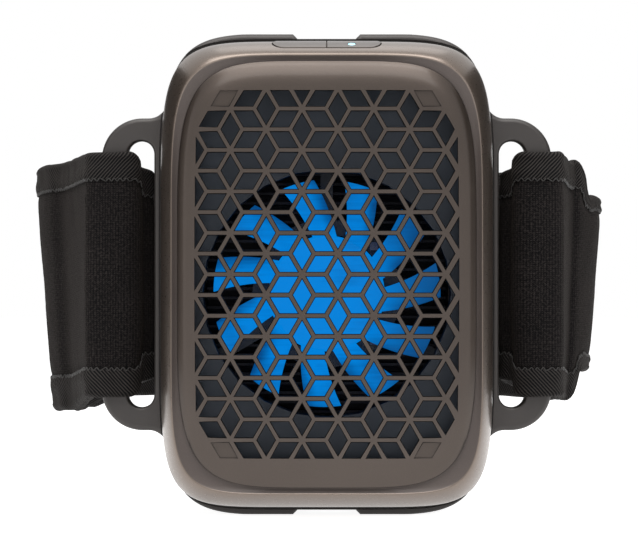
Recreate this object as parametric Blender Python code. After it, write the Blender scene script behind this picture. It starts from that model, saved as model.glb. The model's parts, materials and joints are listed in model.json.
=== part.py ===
"""Hot and cold therapy device: a fan-cooled metal plate in a small case on a padded limb strap.

The device stands upright with its grille towards -Y, +X to the right and +Z up. Lengths are in metres.
The front case closes onto a rear frame with two slotted wings, and a rear housing carries the plate.
"""
import math

import bmesh
import bpy
from mathutils import Matrix, Vector

# Fits
FIT_GAP = 0.0003
CUT_OVERRUN = 0.001
JOIN_OVERLAP = 0.0004

# Front case
CASE_HALF_WIDTH = 0.03205
CASE_HEIGHT_SHARE = 1.41186
CASE_DEPTH = 0.0165
CASE_WALL = 0.0018
BEVEL_DEPTH = 0.0060
BEVEL_SIDE = 0.0024
BEVEL_TOP = 0.0032
BAND_DEPTH = 0.0012
LEDGE_WIDTH = 0.0016
LEDGE_THICKNESS = 0.0012
CASE_EXPONENT = 6.6
BEZEL_EXPONENT = 6.2
BEVEL_STEPS = 4
OUTLINE_POINTS = 44

# Grille panel
BEZEL_SIDE_WIDTH = 0.0036
BEZEL_TOP_WIDTH = 0.00435
PANEL_RISE = 0.0020
PANEL_RIM_DEPTH = 0.0022
PANEL_RECESS_INSET = 0.0020
CROWN_INSET = 0.0034
CROWN_DEPTH = 0.0018
CROWN_STEPS = 3
GRILLE_THICKNESS = 0.0016
PANEL_EXPONENT = 4.75
CELL_SHARE = 0.18043
BAR_WIDTH = 0.00085
LATTICE_SHIFT_SHARE = -0.18656
WINDOW_SIDE_MARGIN = 0.00315
WINDOW_TOP_MARGIN = 0.005325
WINDOW_BOW = 0.0005
BLIND_CELL_DEPTH = 0.0006
LEFT_CORNER_SHARE = 0.64
RIGHT_CORNER_SHARE = 0.82
BLIND_CORNER_SHARE = 0.70
LEAST_CELL_SHARE = 0.06
TOP_ROW_SHARE = 0.55

# Buttons on the top bevel
BUTTON_HALF_LENGTH = 0.0104
BUTTON_DEPTH = 0.0060
BUTTON_FRONT_MARGIN = 0.0006
BUTTON_TRAVEL = 0.00035
BUTTON_HEIGHT = 0.0023
BUTTON_PROUD = 0.00015
BUTTON_END_STEPS = 8
STEM_WIDTH = 0.0016
STEM_DEPTH = 0.0010
STEM_LENGTH = 0.0013
LENS_RADIUS = 0.0007
LENS_OFFSET = 0.0048
LENS_SETBACK = 0.0014
SWITCH_SIZE = 0.0030
SWITCH_HEIGHT = 0.0014
PLUNGER_RADIUS = 0.0007
PLUNGER_HEIGHT = 0.0005
BUTTON_BOARD_HALF_LENGTH = 0.0140
BUTTON_BOARD_DEPTH = 0.0060
BOARD_THICKNESS = 0.0008
HANGER_RADIUS = 0.0012

# Fan, shroud and lamps
FAN_DROP = 0.0037
FAN_SHARE = 0.7785
FAN_DEPTH = 0.0085
DUCT_WALL = 0.0010
SHROUD_THICKNESS = 0.0010
SHROUD_LAP = 0.0006
HUB_SHARE = 0.51
HUB_DEPTH = 0.0056
HUB_WALL = 0.0012
HUB_ROUNDING = 0.0004
BLADE_CLEARANCE = 0.0020
BLADE_COUNT = 11
BLADE_CHORD_SHARE = 0.295
BLADE_ROOT_SHARE = 0.66
BLADE_RISE = 0.0036
BLADE_THICKNESS = 0.0006
BLADE_STATIONS = 4
BLADE_CHORD_STEPS = 3
BLADE_SWEEP = math.radians(14.0)
BLADE_START = math.radians(-7.0)
SHAFT_RADIUS = 0.00075
BEARING_RADIUS = 0.0024
MAGNET_THICKNESS = 0.0012
STATOR_SHARE = 0.72
MOTOR_BASE_THICKNESS = 0.0014
MOTOR_BASE_INSET = 0.0017
STRUT_WIDTH = 0.0024
STRUT_COUNT = 3
LIGHT_RING_WIDTH = 0.0030
LIGHT_RING_THICKNESS = 0.0006
LAMP_SIZE = 0.0016
LAMP_HEIGHT = 0.0006
LAMP_COUNT = 4

# Thermal stack
SINK_INSET = 0.0016
SINK_DEPTH = 0.0110
SINK_BASE = 0.0025
FIN_PITCH = 0.00175
FIN_THICKNESS = 0.0005
PAD_THICKNESS = 0.0005
CERAMIC_INSET = 0.0020
CERAMIC_THICKNESS = 0.0008
LEG_HEIGHT = 0.0014
LEG_SHARE = 0.6
LEG_WEB = 0.0004
LEG_PER_SIDE = 3
SPREADER_MARGIN = 0.0013
SPREADER_THICKNESS = 0.0030
PLATE_SIDE_SHARE = 0.7645
PLATE_TOP_SHARE = 0.8009
PLATE_THICKNESS = 0.0050
PLATE_SEAT = 0.0023
PLATE_ROUNDING = 0.0012
GASKET_WIDTH = 0.0008
GASKET_DEPTH = 0.0020
STANDOFF_RADIUS = 0.0024
BEAD_RADIUS = 0.0008
BEAD_LENGTH = 0.0040

# Rear frame with its wings, and the rear housing
RIM_EXPONENT = 6.0
RIM_SIDE_LIP = 0.00015
RIM_TOP_LIP = 0.00185
RIM_FLAT = 0.00015
RIM_STEPS = 10
RIM_CHAMFER = 0.0005
NOTCH_HALF_WIDTH = 0.0057
NOTCH_DEPTH = 0.0009
FRAME_THICKNESS = 0.0045
FRAME_RING_SHARE = 0.1056
WING_REACH = 0.0119
WING_END_WIDTH = 0.00445
WING_CORNER = 0.0080
WING_FILLET = 0.0036
WING_BAR_WIDTH = 0.0052
SLOT_END_MARGIN = 0.00215
SLOT_INSET = 0.0016
ARC_STEPS = 6
BACK_ROUNDING = 0.0024
BACK_STEPS = 3
VENT_COUNT = 7
VENT_PITCH = 0.0050
VENT_HEIGHT = 0.0018
VENT_DEPTH = 0.0080
VENT_FRONT_MARGIN = 0.0022

# Fasteners
BOSS_SIDE_SHARE = 0.725
BOSS_TOP_SHARE = 0.80
BOSS_RADIUS = 0.0028
SCREW_SHANK_RADIUS = 0.0008
SCREW_HEAD_RADIUS = 0.0017
SCREW_HEAD_HEIGHT = 0.0012
SCREW_BITE = 0.0070
SCREW_HEAD_SETBACK = 0.0100
FAN_SCREW_INSET = 0.0049
BOARD_SCREW_BITE = 0.0030
BOARD_POST_RADIUS = 0.0020
BOARD_POST_INSET = 0.0041

# Batteries, board and port
BATTERY_THICKNESS = 0.0075
BATTERY_ROUNDING = 0.0010
CRADLE_WALL = 0.0012
STACK_CLEARANCE = 0.0006
MAIN_BOARD_THICKNESS = 0.0012
PORT_WIDTH = 0.0089
PORT_THICKNESS = 0.0032
PORT_LENGTH = 0.0066
PORT_WALL = 0.0004
PORT_SETBACK = 0.0049
CHIP_HEIGHT = 0.0010
CHIP_WIDTH = 0.0060
CHIP_SPACING = 0.0110

# Strap
STRAP_WIDTH = 0.0480
STRAP_THICKNESS = 0.0024
HEM_WIDTH = 0.0050
HEM_THICKNESS = 0.0030
STRAP_PITCH = 0.0040
LOOP_OVERHANG = 0.0139
LOOP_HALF_DEPTH = 0.0400
LOOP_EASE = 0.0005
LOOP_ENTRY = math.radians(28.0)
LOOP_STEPS = 18
FLAP_END = math.radians(14.0)
FLAP_SHOULDER = math.radians(23.0)
TAIL_END = math.radians(4.0)
WRAP_STEPS = 6
WRAP_EXPONENT = 3.0
WRAP_EASE = 0.0004
TAB_INSET = 0.0060
TAB_START = math.radians(18.0)
TURN_BULGE = 0.0004
TURN_DEPTH = 0.0050
SPLINE_STEPS = 2
STRAP_DROP = 0.0022
STRAP_TAPER_SHARE = 0.033
PATCH_THICKNESS = 0.0008
PATCH_MARGIN = 0.0010
PATCH_STEPS = 6

SHARP_ANGLE = math.radians(30.0)
ROUND_SEGMENTS = 24
HUB_SEGMENTS = 40
SMALL_SEGMENTS = 10

# Places along the depth, from the grille to the plate and the back of the strap
LOOP_SETBACK = LOOP_HALF_DEPTH - LOOP_EASE
FRONT_REACH = CASE_DEPTH + PANEL_RISE
FRAME_MID = FIT_GAP + FRAME_THICKNESS / 2
BACK_REACH = FRAME_MID + LOOP_SETBACK + LOOP_HALF_DEPTH + HEM_THICKNESS / 2
SPLIT_Y = (FRONT_REACH - BACK_REACH) / 2
BEZEL_Y = SPLIT_Y - CASE_DEPTH
PANEL_Y = BEZEL_Y - PANEL_RISE
GRILLE_BACK_Y = PANEL_Y + GRILLE_THICKNESS
PANEL_BACK_Y = BEZEL_Y + PANEL_RIM_DEPTH
LEDGE_Y = PANEL_BACK_Y + FIT_GAP
LEDGE_BACK_Y = LEDGE_Y + LEDGE_THICKNESS
SHROUD_Y = LEDGE_BACK_Y + FIT_GAP
FAN_Y = SHROUD_Y + SHROUD_THICKNESS + FIT_GAP
FAN_BACK_Y = FAN_Y + FAN_DEPTH
SINK_Y = FAN_BACK_Y + FIT_GAP
SINK_BACK_Y = SINK_Y + SINK_DEPTH
HOT_PAD_Y = SINK_BACK_Y + FIT_GAP
HOT_CERAMIC_Y = HOT_PAD_Y + PAD_THICKNESS + FIT_GAP
LEGS_Y = HOT_CERAMIC_Y + CERAMIC_THICKNESS + FIT_GAP
COLD_CERAMIC_Y = LEGS_Y + LEG_HEIGHT + FIT_GAP
COLD_PAD_Y = COLD_CERAMIC_Y + CERAMIC_THICKNESS + FIT_GAP
SPREADER_Y = COLD_PAD_Y + PAD_THICKNESS + FIT_GAP
PLATE_Y = SPREADER_Y + SPREADER_THICKNESS + FIT_GAP
PLATE_BACK_Y = PLATE_Y + PLATE_THICKNESS
REAR_BACK_Y = PLATE_Y + PLATE_SEAT
REAR_INNER_Y = REAR_BACK_Y - CASE_WALL
FRAME_Y = SPLIT_Y + FIT_GAP
FRAME_BACK_Y = FRAME_Y + FRAME_THICKNESS
REAR_Y = FRAME_BACK_Y + FIT_GAP
WING_MID_Y = SPLIT_Y + FRAME_MID
FAN_Z = -FAN_DROP

# Places across the case
CASE_HALF_HEIGHT = CASE_HALF_WIDTH * CASE_HEIGHT_SHARE
PANEL_HALF_WIDTH = CASE_HALF_WIDTH - BEZEL_SIDE_WIDTH
PANEL_HALF_HEIGHT = CASE_HALF_HEIGHT - BEZEL_TOP_WIDTH
RIM_HALF_WIDTH = CASE_HALF_WIDTH + RIM_SIDE_LIP
RIM_HALF_HEIGHT = CASE_HALF_HEIGHT + RIM_TOP_LIP
CASE_Z = RIM_HALF_HEIGHT
PLATE_HALF_WIDTH = CASE_HALF_WIDTH * PLATE_SIDE_SHARE
PLATE_HALF_HEIGHT = CASE_HALF_HEIGHT * PLATE_TOP_SHARE
CASE_INNER_WIDTH = CASE_HALF_WIDTH - CASE_WALL
CASE_INNER_HEIGHT = CASE_HALF_HEIGHT - CASE_WALL
REAR_INNER_WIDTH = RIM_HALF_WIDTH - CASE_WALL
REAR_INNER_HEIGHT = RIM_HALF_HEIGHT - NOTCH_DEPTH - CASE_WALL
SEAT_HALF_WIDTH = PANEL_HALF_WIDTH + FIT_GAP
SEAT_HALF_HEIGHT = PANEL_HALF_HEIGHT + FIT_GAP
LEDGE_HALF_WIDTH = SEAT_HALF_WIDTH - LEDGE_WIDTH
LEDGE_HALF_HEIGHT = SEAT_HALF_HEIGHT - LEDGE_WIDTH
WINDOW_HALF_WIDTH = PANEL_HALF_WIDTH - WINDOW_SIDE_MARGIN
WINDOW_HALF_HEIGHT = PANEL_HALF_HEIGHT - WINDOW_TOP_MARGIN
CELL_SIDE = WINDOW_HALF_WIDTH * CELL_SHARE
LATTICE_SHIFT = WINDOW_HALF_WIDTH * LATTICE_SHIFT_SHARE
FRAME_RING_WIDTH = RIM_HALF_WIDTH * FRAME_RING_SHARE
FRAME_INNER_WIDTH = RIM_HALF_WIDTH - FRAME_RING_WIDTH
FRAME_INNER_HEIGHT = RIM_HALF_HEIGHT - NOTCH_DEPTH - FRAME_RING_WIDTH
BOSS_X = CASE_HALF_WIDTH * BOSS_SIDE_SHARE
BOSS_Z = CASE_HALF_HEIGHT * BOSS_TOP_SHARE
FAN_HALF_SIZE = CASE_HALF_WIDTH * FAN_SHARE
DUCT_RADIUS = FAN_HALF_SIZE - DUCT_WALL
BLADE_RADIUS = DUCT_RADIUS - BLADE_CLEARANCE
BLADE_CHORD = BLADE_RADIUS * BLADE_CHORD_SHARE
HUB_RADIUS = BLADE_RADIUS * HUB_SHARE
MOTOR_BASE_RADIUS = HUB_RADIUS - MOTOR_BASE_INSET
FAN_SCREW_OFFSET = FAN_HALF_SIZE - FAN_SCREW_INSET
SINK_HALF_SIZE = FAN_HALF_SIZE - SINK_INSET
SPREADER_HALF_SIZE = FAN_SCREW_OFFSET - STANDOFF_RADIUS - SPREADER_MARGIN
CERAMIC_HALF_SIZE = SPREADER_HALF_SIZE - CERAMIC_INSET
LEG_SIZE = 2 * CERAMIC_HALF_SIZE * LEG_SHARE / LEG_PER_SIDE
SCREW_HOLE_RADIUS = SCREW_SHANK_RADIUS + FIT_GAP
HEAD_HOLE_RADIUS = SCREW_HEAD_RADIUS + FIT_GAP
MIDDLE_TOLERANCE = CELL_SIDE / 10
STACK_HALF_LENGTH = BOSS_X - BOSS_RADIUS - STACK_CLEARANCE
BOARD_POST_SPACING = STACK_HALF_LENGTH - BOARD_POST_INSET
SLOT_HALF_HEIGHT = STRAP_WIDTH / 2 + SLOT_END_MARGIN
WING_HALF_WIDTH = RIM_HALF_WIDTH + WING_REACH
WING_HALF_HEIGHT = SLOT_HALF_HEIGHT + WING_END_WIDTH
LOOP_HALF_WIDTH = WING_HALF_WIDTH + LOOP_OVERHANG
LOOP_CENTRE_X = -STRAP_PITCH / 2
LOOP_REACH = LOOP_HALF_WIDTH - STRAP_PITCH / 2 - HEM_THICKNESS / 2
PATCH_HALF_HEIGHT = STRAP_WIDTH / 2 - HEM_WIDTH - TAB_INSET - PATCH_MARGIN
BAR_X = WING_HALF_WIDTH - WING_BAR_WIDTH / 2
SLOT_INNER_X = RIM_HALF_WIDTH + SLOT_INSET
SLOT_OUTER_X = WING_HALF_WIDTH - WING_BAR_WIDTH
WRAP_HALF_WIDTH = WING_BAR_WIDTH / 2 + HEM_THICKNESS / 2 + WRAP_EASE
WRAP_HALF_DEPTH = FRAME_THICKNESS / 2 + HEM_THICKNESS / 2 + WRAP_EASE


def srgb(red, green, blue):
    """A display colour, 0 to 255, as linear values."""
    return tuple((value / 255.0) ** 2.2 for value in (red, green, blue))


def finish(name, colour, roughness, metallic=0.0, glow=0.0):
    """A plain surface with the piece's colour, roughness and metallic value."""
    made = bpy.data.materials.new(name)
    made.use_nodes = True
    shader = made.node_tree.nodes["Principled BSDF"]
    shader.inputs["Base Color"].default_value = (*colour, 1.0)
    shader.inputs["Roughness"].default_value = roughness
    shader.inputs["Metallic"].default_value = metallic
    shader.inputs["Emission Color"].default_value = (*colour, 1.0)
    shader.inputs["Emission Strength"].default_value = glow
    return made


def case_paint():
    return finish("case_paint", srgb(112, 99, 91), 0.32, 0.75)


def frame_finish():
    return finish("frame_finish", srgb(82, 78, 74), 0.45, 0.30)


def dark_plastic():
    return finish("dark_plastic", srgb(33, 37, 43), 0.55)


def lit_plastic():
    return finish("lit_plastic", srgb(0, 140, 255), 0.35, glow=0.6)


def light_lens():
    return finish("light_lens", srgb(180, 245, 250), 0.2, glow=1.5)


def black_metal():
    return finish("black_metal", srgb(20, 21, 23), 0.5, 0.6)


def bare_aluminium():
    return finish("bare_aluminium", srgb(190, 192, 196), 0.3, 1.0)


def screw_steel():
    return finish("screw_steel", srgb(150, 150, 152), 0.3, 1.0)


def white_ceramic():
    return finish("white_ceramic", srgb(235, 232, 225), 0.6)


def leg_alloy():
    return finish("leg_alloy", srgb(120, 122, 128), 0.4, 0.8)


def grey_silicone():
    return finish("grey_silicone", srgb(95, 97, 100), 0.8)


def board_green():
    return finish("board_green", srgb(24, 66, 44), 0.5)


def chip_black():
    return finish("chip_black", srgb(25, 25, 27), 0.4)


def cell_wrap():
    return finish("cell_wrap", srgb(60, 92, 150), 0.4)


def strap_cloth():
    return finish("strap_cloth", srgb(30, 29, 30), 0.9)


def hem_cloth():
    return finish("hem_cloth", srgb(38, 35, 34), 0.85)


def hook_nylon():
    return finish("hook_nylon", srgb(18, 18, 19), 0.95)


def clear_scene():
    for obj in list(bpy.data.objects):
        bpy.data.objects.remove(obj, do_unlink=True)


def add_object(name, bm, surface):
    """Put a mesh in the scene, its faces turned out and its round stretches smooth."""
    bmesh.ops.recalc_face_normals(bm, faces=bm.faces)
    mesh = bpy.data.meshes.new(name)
    bm.to_mesh(mesh)
    bm.free()
    if surface is not None:
        mesh.materials.append(surface)
    mesh.shade_smooth()
    mesh.set_sharp_from_angle(angle=SHARP_ANGLE)
    obj = bpy.data.objects.new(name, mesh)
    bpy.context.scene.collection.objects.link(obj)
    return obj


def superellipse(half_width, half_height, exponent, count=OUTLINE_POINTS):
    """A rounded rectangle with slightly bowed sides, as points (x, z) about the case centre."""
    points = []
    for step in range(count):
        angle = 2 * math.pi * step / count
        across = math.copysign(abs(math.cos(angle)) ** (2 / exponent), math.cos(angle))
        up = math.copysign(abs(math.sin(angle)) ** (2 / exponent), math.sin(angle))
        points.append((half_width * across, half_height * up))
    return points


def outline_height(across, half_width, half_height, exponent):
    """How high a superellipse stands at a place across it."""
    share = min(abs(across) / half_width, 1.0)
    return half_height * (1 - share ** exponent) ** (1 / exponent)


def circle(radius, centre=(0.0, 0.0), count=ROUND_SEGMENTS):
    points = []
    for step in range(count):
        angle = 2 * math.pi * step / count
        points.append((centre[0] + radius * math.cos(angle), centre[1] + radius * math.sin(angle)))
    return points


def arc(centre, radius, start, end, steps):
    """Points along an arc, its ends included."""
    points = []
    for step in range(steps + 1):
        angle = start + (end - start) * step / steps
        points.append((centre[0] + radius * math.cos(angle), centre[1] + radius * math.sin(angle)))
    return points


def four_way(quadrant):
    """A closed loop from its upper right quarter, which runs from the side up to the middle."""
    loop = list(quadrant)
    loop += [(-x, z) for x, z in reversed(quadrant)]
    loop += [(-x, -z) for x, z in quadrant]
    loop += [(x, -z) for x, z in reversed(quadrant)]
    kept = []
    for point in loop:
        if not kept or math.dist(point, kept[-1]) > RIM_FLAT / 10:
            kept.append(point)
    if math.dist(kept[0], kept[-1]) <= RIM_FLAT / 10:
        kept.pop()
    return kept


def offset_loop(loop, distance):
    """Move a loop that runs anticlockwise inwards by a distance, with mitred corners."""
    moved = []
    for index, point in enumerate(loop):
        before = Vector(point) - Vector(loop[index - 1])
        after = Vector(loop[(index + 1) % len(loop)]) - Vector(point)
        first = Vector((-before.y, before.x)).normalized()
        second = Vector((-after.y, after.x)).normalized()
        shift = (first + second) * (distance / (1 + first.dot(second)))
        moved.append((point[0] + shift.x, point[1] + shift.y))
    return moved


def ring(outline, depth):
    """An outline set upright at a depth, about the case centre."""
    return [(x, depth, z + CASE_Z) for x, z in outline]


def shifted(outline, across, up):
    return [(x + across, z + up) for x, z in outline]


def add_loft(bm, rings, closed=False):
    """Skin a row of rings with equal point counts, and cap its ends or join them."""
    loops = [[bm.verts.new(point) for point in points] for points in rings]
    pairs = list(zip(loops, loops[1:]))
    if closed:
        pairs.append((loops[-1], loops[0]))
    for near, far in pairs:
        for index in range(len(near)):
            bm.faces.new((near[index - 1], near[index], far[index], far[index - 1]))
    if not closed:
        bm.faces.new(loops[0])
        bm.faces.new(loops[-1])


def loft(name, rings, surface, closed=False):
    bm = bmesh.new()
    add_loft(bm, rings, closed)
    return add_object(name, bm, surface)


def add_box(bm, low, high):
    """A box between two corners, measured from the case centre's height."""
    corners = [(low[0], low[2]), (high[0], low[2]), (high[0], high[2]), (low[0], high[2])]
    add_loft(bm, [ring(corners, low[1]), ring(corners, high[1])])


def box(name, low, high, surface):
    bm = bmesh.new()
    add_box(bm, low, high)
    return add_object(name, bm, surface)


def fill_between(bm, loops):
    """Fill the flat face inside the first loop and outside the others."""
    edges = []
    for loop in loops:
        for index in range(len(loop)):
            edges.append(bm.edges.get((loop[index - 1], loop[index])))
    bmesh.ops.triangle_fill(bm, use_beauty=True, use_dissolve=False, edges=edges, normal=(0.0, 1.0, 0.0))


def plate(name, outer, holes, front, back, chamfer, surface):
    """A flat plate with holes, its edges chamfered on both faces."""
    bm = bmesh.new()
    front_loops = []
    back_loops = []
    for outline, side in [(outer, 1.0)] + [(hole, -1.0) for hole in holes]:
        rings = [ring(outline, front), ring(outline, back)]
        if chamfer:
            trimmed = offset_loop(outline, side * chamfer)
            rings = [ring(trimmed, front), ring(outline, front + chamfer),
                     ring(outline, back - chamfer), ring(trimmed, back)]
        loops = [[bm.verts.new(point) for point in points] for points in rings]
        for near, far in zip(loops, loops[1:]):
            for index in range(len(near)):
                bm.faces.new((near[index - 1], near[index], far[index], far[index - 1]))
        front_loops.append(loops[0])
        back_loops.append(loops[-1])
    fill_between(bm, front_loops)
    fill_between(bm, back_loops)
    return add_object(name, bm, surface)


def add_turned(bm, profile, centre, count=SMALL_SEGMENTS):
    """A turned solid along Y from (radius, depth) steps, at a place (x, z) on the case."""
    add_loft(bm, [ring(circle(radius, centre, count), depth) for radius, depth in profile])


def turned(name, profile, centre, surface, count=ROUND_SEGMENTS):
    bm = bmesh.new()
    add_turned(bm, profile, centre, count)
    return add_object(name, bm, surface)


def tube(name, inner, outer, front, back, centre, surface, count=ROUND_SEGMENTS):
    """A plain ring along Y."""
    rings = [ring(circle(outer, centre, count), front), ring(circle(outer, centre, count), back),
             ring(circle(inner, centre, count), back), ring(circle(inner, centre, count), front)]
    return loft(name, rings, surface, closed=True)


def add_upright(bm, radius, low, high, centre, count=SMALL_SEGMENTS):
    """A round pin along Z at a place (x, y), its ends measured from the case centre."""
    rings = []
    for height in (low, high):
        rings.append([(x, y, height + CASE_Z) for x, y in circle(radius, centre, count)])
    add_loft(bm, rings)


def helper(bm):
    """A cutter or a joined part, kept out of the model."""
    obj = add_object("helper", bm, None)
    obj.hide_render = True
    obj.display_type = 'WIRE'
    return obj


def combine(target, other, operation):
    """Work another solid into the target, and take the other away."""
    modifier = target.modifiers.new(operation.lower(), 'BOOLEAN')
    modifier.operation = operation
    modifier.object = other
    graph = bpy.context.evaluated_depsgraph_get()
    mesh = bpy.data.meshes.new_from_object(target.evaluated_get(graph))
    target.modifiers.clear()
    old = target.data
    mesh.name = old.name
    target.data = mesh
    bpy.data.meshes.remove(old)
    bpy.data.objects.remove(other, do_unlink=True)
    mesh.shade_smooth()
    mesh.set_sharp_from_angle(angle=SHARP_ANGLE)


def cut(target, bm):
    combine(target, helper(bm), 'DIFFERENCE')


def join(target, bm):
    combine(target, helper(bm), 'UNION')


def corner_places(across, up, centre_z=0.0):
    return [(side * across, centre_z + end * up) for side in (-1, 1) for end in (-1, 1)]


def bevel_rings():
    """The case's outer skin, from the split to the crisp front edge of the bezel."""
    rings = [ring(superellipse(CASE_HALF_WIDTH, CASE_HALF_HEIGHT, CASE_EXPONENT), SPLIT_Y)]
    for step in range(BEVEL_STEPS + 1):
        share = step / BEVEL_STEPS
        angle = share * math.pi / 2
        inset = 1 - math.cos(angle)
        exponent = CASE_EXPONENT + (BEZEL_EXPONENT - CASE_EXPONENT) * share
        outline = superellipse(CASE_HALF_WIDTH - BEVEL_SIDE * inset,
                               CASE_HALF_HEIGHT - BEVEL_TOP * inset, exponent)
        rings.append(ring(outline, BEZEL_Y + BEVEL_DEPTH * (1 - math.sin(angle))))
    return rings


def make_front_housing(surface):
    seat = superellipse(SEAT_HALF_WIDTH, SEAT_HALF_HEIGHT, PANEL_EXPONENT)
    ledge = superellipse(LEDGE_HALF_WIDTH, LEDGE_HALF_HEIGHT, PANEL_EXPONENT)
    inner = superellipse(CASE_INNER_WIDTH, CASE_INNER_HEIGHT, CASE_EXPONENT)
    rings = bevel_rings()
    rings += [ring(seat, BEZEL_Y + BAND_DEPTH), ring(seat, LEDGE_Y), ring(ledge, LEDGE_Y),
              ring(ledge, LEDGE_BACK_Y), ring(inner, LEDGE_BACK_Y), ring(inner, SPLIT_Y)]
    housing = loft("front_housing", rings, surface, closed=True)
    bosses = bmesh.new()
    for place in corner_places(BOSS_X, BOSS_Z):
        add_turned(bosses, [(BOSS_RADIUS, LEDGE_BACK_Y - JOIN_OVERLAP), (BOSS_RADIUS, SPLIT_Y)], place)
    join(housing, bosses)
    hangers = bmesh.new()
    for side in (-1, 1):
        place = (side * hanger_offset(), hanger_depth())
        add_upright(hangers, HANGER_RADIUS, board_top() + FIT_GAP, CASE_INNER_HEIGHT + JOIN_OVERLAP, place)
    join(housing, hangers)
    holes = bmesh.new()
    for place in corner_places(BOSS_X, BOSS_Z):
        add_turned(holes, [(SCREW_HOLE_RADIUS, SPLIT_Y - SCREW_BITE - CUT_OVERRUN),
                           (SCREW_HOLE_RADIUS, SPLIT_Y + CUT_OVERRUN)], place)
    cut(housing, holes)
    pocket = bmesh.new()
    add_button_blank(pocket, button_outline(-1, 1, FIT_GAP), pocket_floor(), CASE_HALF_HEIGHT + CUT_OVERRUN)
    cut(housing, pocket)


def button_centre_y():
    return BEZEL_Y + BUTTON_FRONT_MARGIN + BUTTON_DEPTH / 2


def button_underside():
    return CASE_HALF_HEIGHT - BUTTON_HEIGHT


def pocket_floor():
    return button_underside() - BUTTON_TRAVEL - FIT_GAP


def stem_bottom():
    return button_underside() - STEM_LENGTH


def stem_centre_y():
    return button_centre_y() + BUTTON_DEPTH / 2 - STEM_DEPTH / 2


def board_top():
    return stem_bottom() - BUTTON_TRAVEL - FIT_GAP - PLUNGER_HEIGHT - SWITCH_HEIGHT - FIT_GAP


def board_front():
    return SHROUD_Y + SHROUD_THICKNESS + FIT_GAP


def hanger_offset():
    return BUTTON_BOARD_HALF_LENGTH - HANGER_RADIUS


def hanger_depth():
    return board_front() + BUTTON_BOARD_DEPTH / 2


def button_outline(left, right, grown):
    """The button bar seen from above, or its left or right half, grown by a clearance."""
    radius = BUTTON_DEPTH / 2
    reach = BUTTON_HALF_LENGTH - radius
    middle = button_centre_y()
    gap = FIT_GAP / 2
    points = []
    if right > 0:
        points += arc((reach, middle), radius + grown, -math.pi / 2, math.pi / 2, BUTTON_END_STEPS)
    else:
        points += [(-gap, middle - radius - grown), (-gap, middle + radius + grown)]
    if left < 0:
        points += arc((-reach, middle), radius + grown, math.pi / 2, 3 * math.pi / 2, BUTTON_END_STEPS)
    else:
        points += [(gap, middle + radius + grown), (gap, middle - radius - grown)]
    return points


def add_button_blank(bm, outline, low, high):
    add_loft(bm, [[(x, y, low + CASE_Z) for x, y in outline], [(x, y, high + CASE_Z) for x, y in outline]])


def keep_under_bevel(obj):
    """Cut a blank to the bevel's skin, raised a little so that it stands proud."""
    skin = bmesh.new()
    add_loft(skin, [[(x, y, z + BUTTON_PROUD) for x, y, z in points] for points in bevel_rings()])
    combine(obj, helper(skin), 'INTERSECT')


def make_button(name, left, right, surface):
    """One half of the button bar: its top follows the bevel, and a stem reaches down to the switch."""
    blank = bmesh.new()
    add_button_blank(blank, button_outline(left, right, 0.0), button_underside(),
                     CASE_HALF_HEIGHT + CUT_OVERRUN)
    button = add_object(name, blank, surface)
    keep_under_bevel(button)
    stem = bmesh.new()
    middle = (left + right) * LENS_OFFSET
    add_box(stem, (middle - STEM_WIDTH / 2, stem_centre_y() - STEM_DEPTH / 2, stem_bottom()),
            (middle + STEM_WIDTH / 2, stem_centre_y() + STEM_DEPTH / 2, button_underside() + JOIN_OVERLAP))
    join(button, stem)
    return button


def lens_depth():
    return button_centre_y() - LENS_SETBACK


def make_indicator_lens(button, surface):
    """A small round light in the right button, standing level with the bevel around it."""
    hole = bmesh.new()
    place = (LENS_OFFSET, lens_depth())
    add_upright(hole, LENS_RADIUS + FIT_GAP, button_underside() - CUT_OVERRUN,
                CASE_HALF_HEIGHT + CUT_OVERRUN, place)
    cut(button, hole)
    blank = bmesh.new()
    add_upright(blank, LENS_RADIUS, button_underside(), CASE_HALF_HEIGHT + CUT_OVERRUN, place)
    lens = add_object("indicator_lens", blank, surface)
    keep_under_bevel(lens)
    return lens


def make_button_board(surface):
    front = board_front()
    top = board_top()
    box("button_board", (-BUTTON_BOARD_HALF_LENGTH, front, top - BOARD_THICKNESS),
        (BUTTON_BOARD_HALF_LENGTH, front + BUTTON_BOARD_DEPTH, top), surface)


def make_switch(name, side, surface):
    """A press switch under a stem: a round plunger on a square body."""
    front = board_front()
    body_low = board_top() + FIT_GAP
    body_high = body_low + SWITCH_HEIGHT
    middle = side * LENS_OFFSET
    switch = box(name, (middle - SWITCH_SIZE / 2, front, body_low),
                 (middle + SWITCH_SIZE / 2, front + SWITCH_SIZE, body_high), surface)
    plunger = bmesh.new()
    place = (middle, front + PLUNGER_RADIUS + FIT_GAP)
    add_upright(plunger, PLUNGER_RADIUS, body_high - JOIN_OVERLAP, body_high + PLUNGER_HEIGHT, place)
    join(switch, plunger)


def clip_cell(points, normal, limit):
    """Cut a convex cell to the side of a line where the distance along the normal stays under a limit."""
    kept = []
    for index, point in enumerate(points):
        before = points[index - 1]
        here = point[0] * normal[0] + point[1] * normal[1] - limit
        there = before[0] * normal[0] + before[1] * normal[1] - limit
        if here * there < 0:
            share = there / (there - here)
            kept.append((before[0] + (point[0] - before[0]) * share,
                         before[1] + (point[1] - before[1]) * share))
        if here <= 0:
            kept.append(point)
    return kept


def cell_area(points):
    total = 0.0
    for index, point in enumerate(points):
        before = points[index - 1]
        total += before[0] * point[1] - point[0] * before[1]
    return abs(total) / 2


def rhombus(star, first, second):
    """The cell between two bars that leave a star of the lattice, at angles in sixths of a turn."""
    legs = []
    for direction in (first, second):
        angle = direction * math.pi / 3
        legs.append((CELL_SIDE * math.cos(angle), CELL_SIDE * math.sin(angle)))
    near = (star[0] + legs[0][0], star[1] + legs[0][1])
    far = (star[0] + legs[1][0], star[1] + legs[1][1])
    across = (near[0] + legs[1][0], near[1] + legs[1][1])
    return [star, near, across, far]


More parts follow.
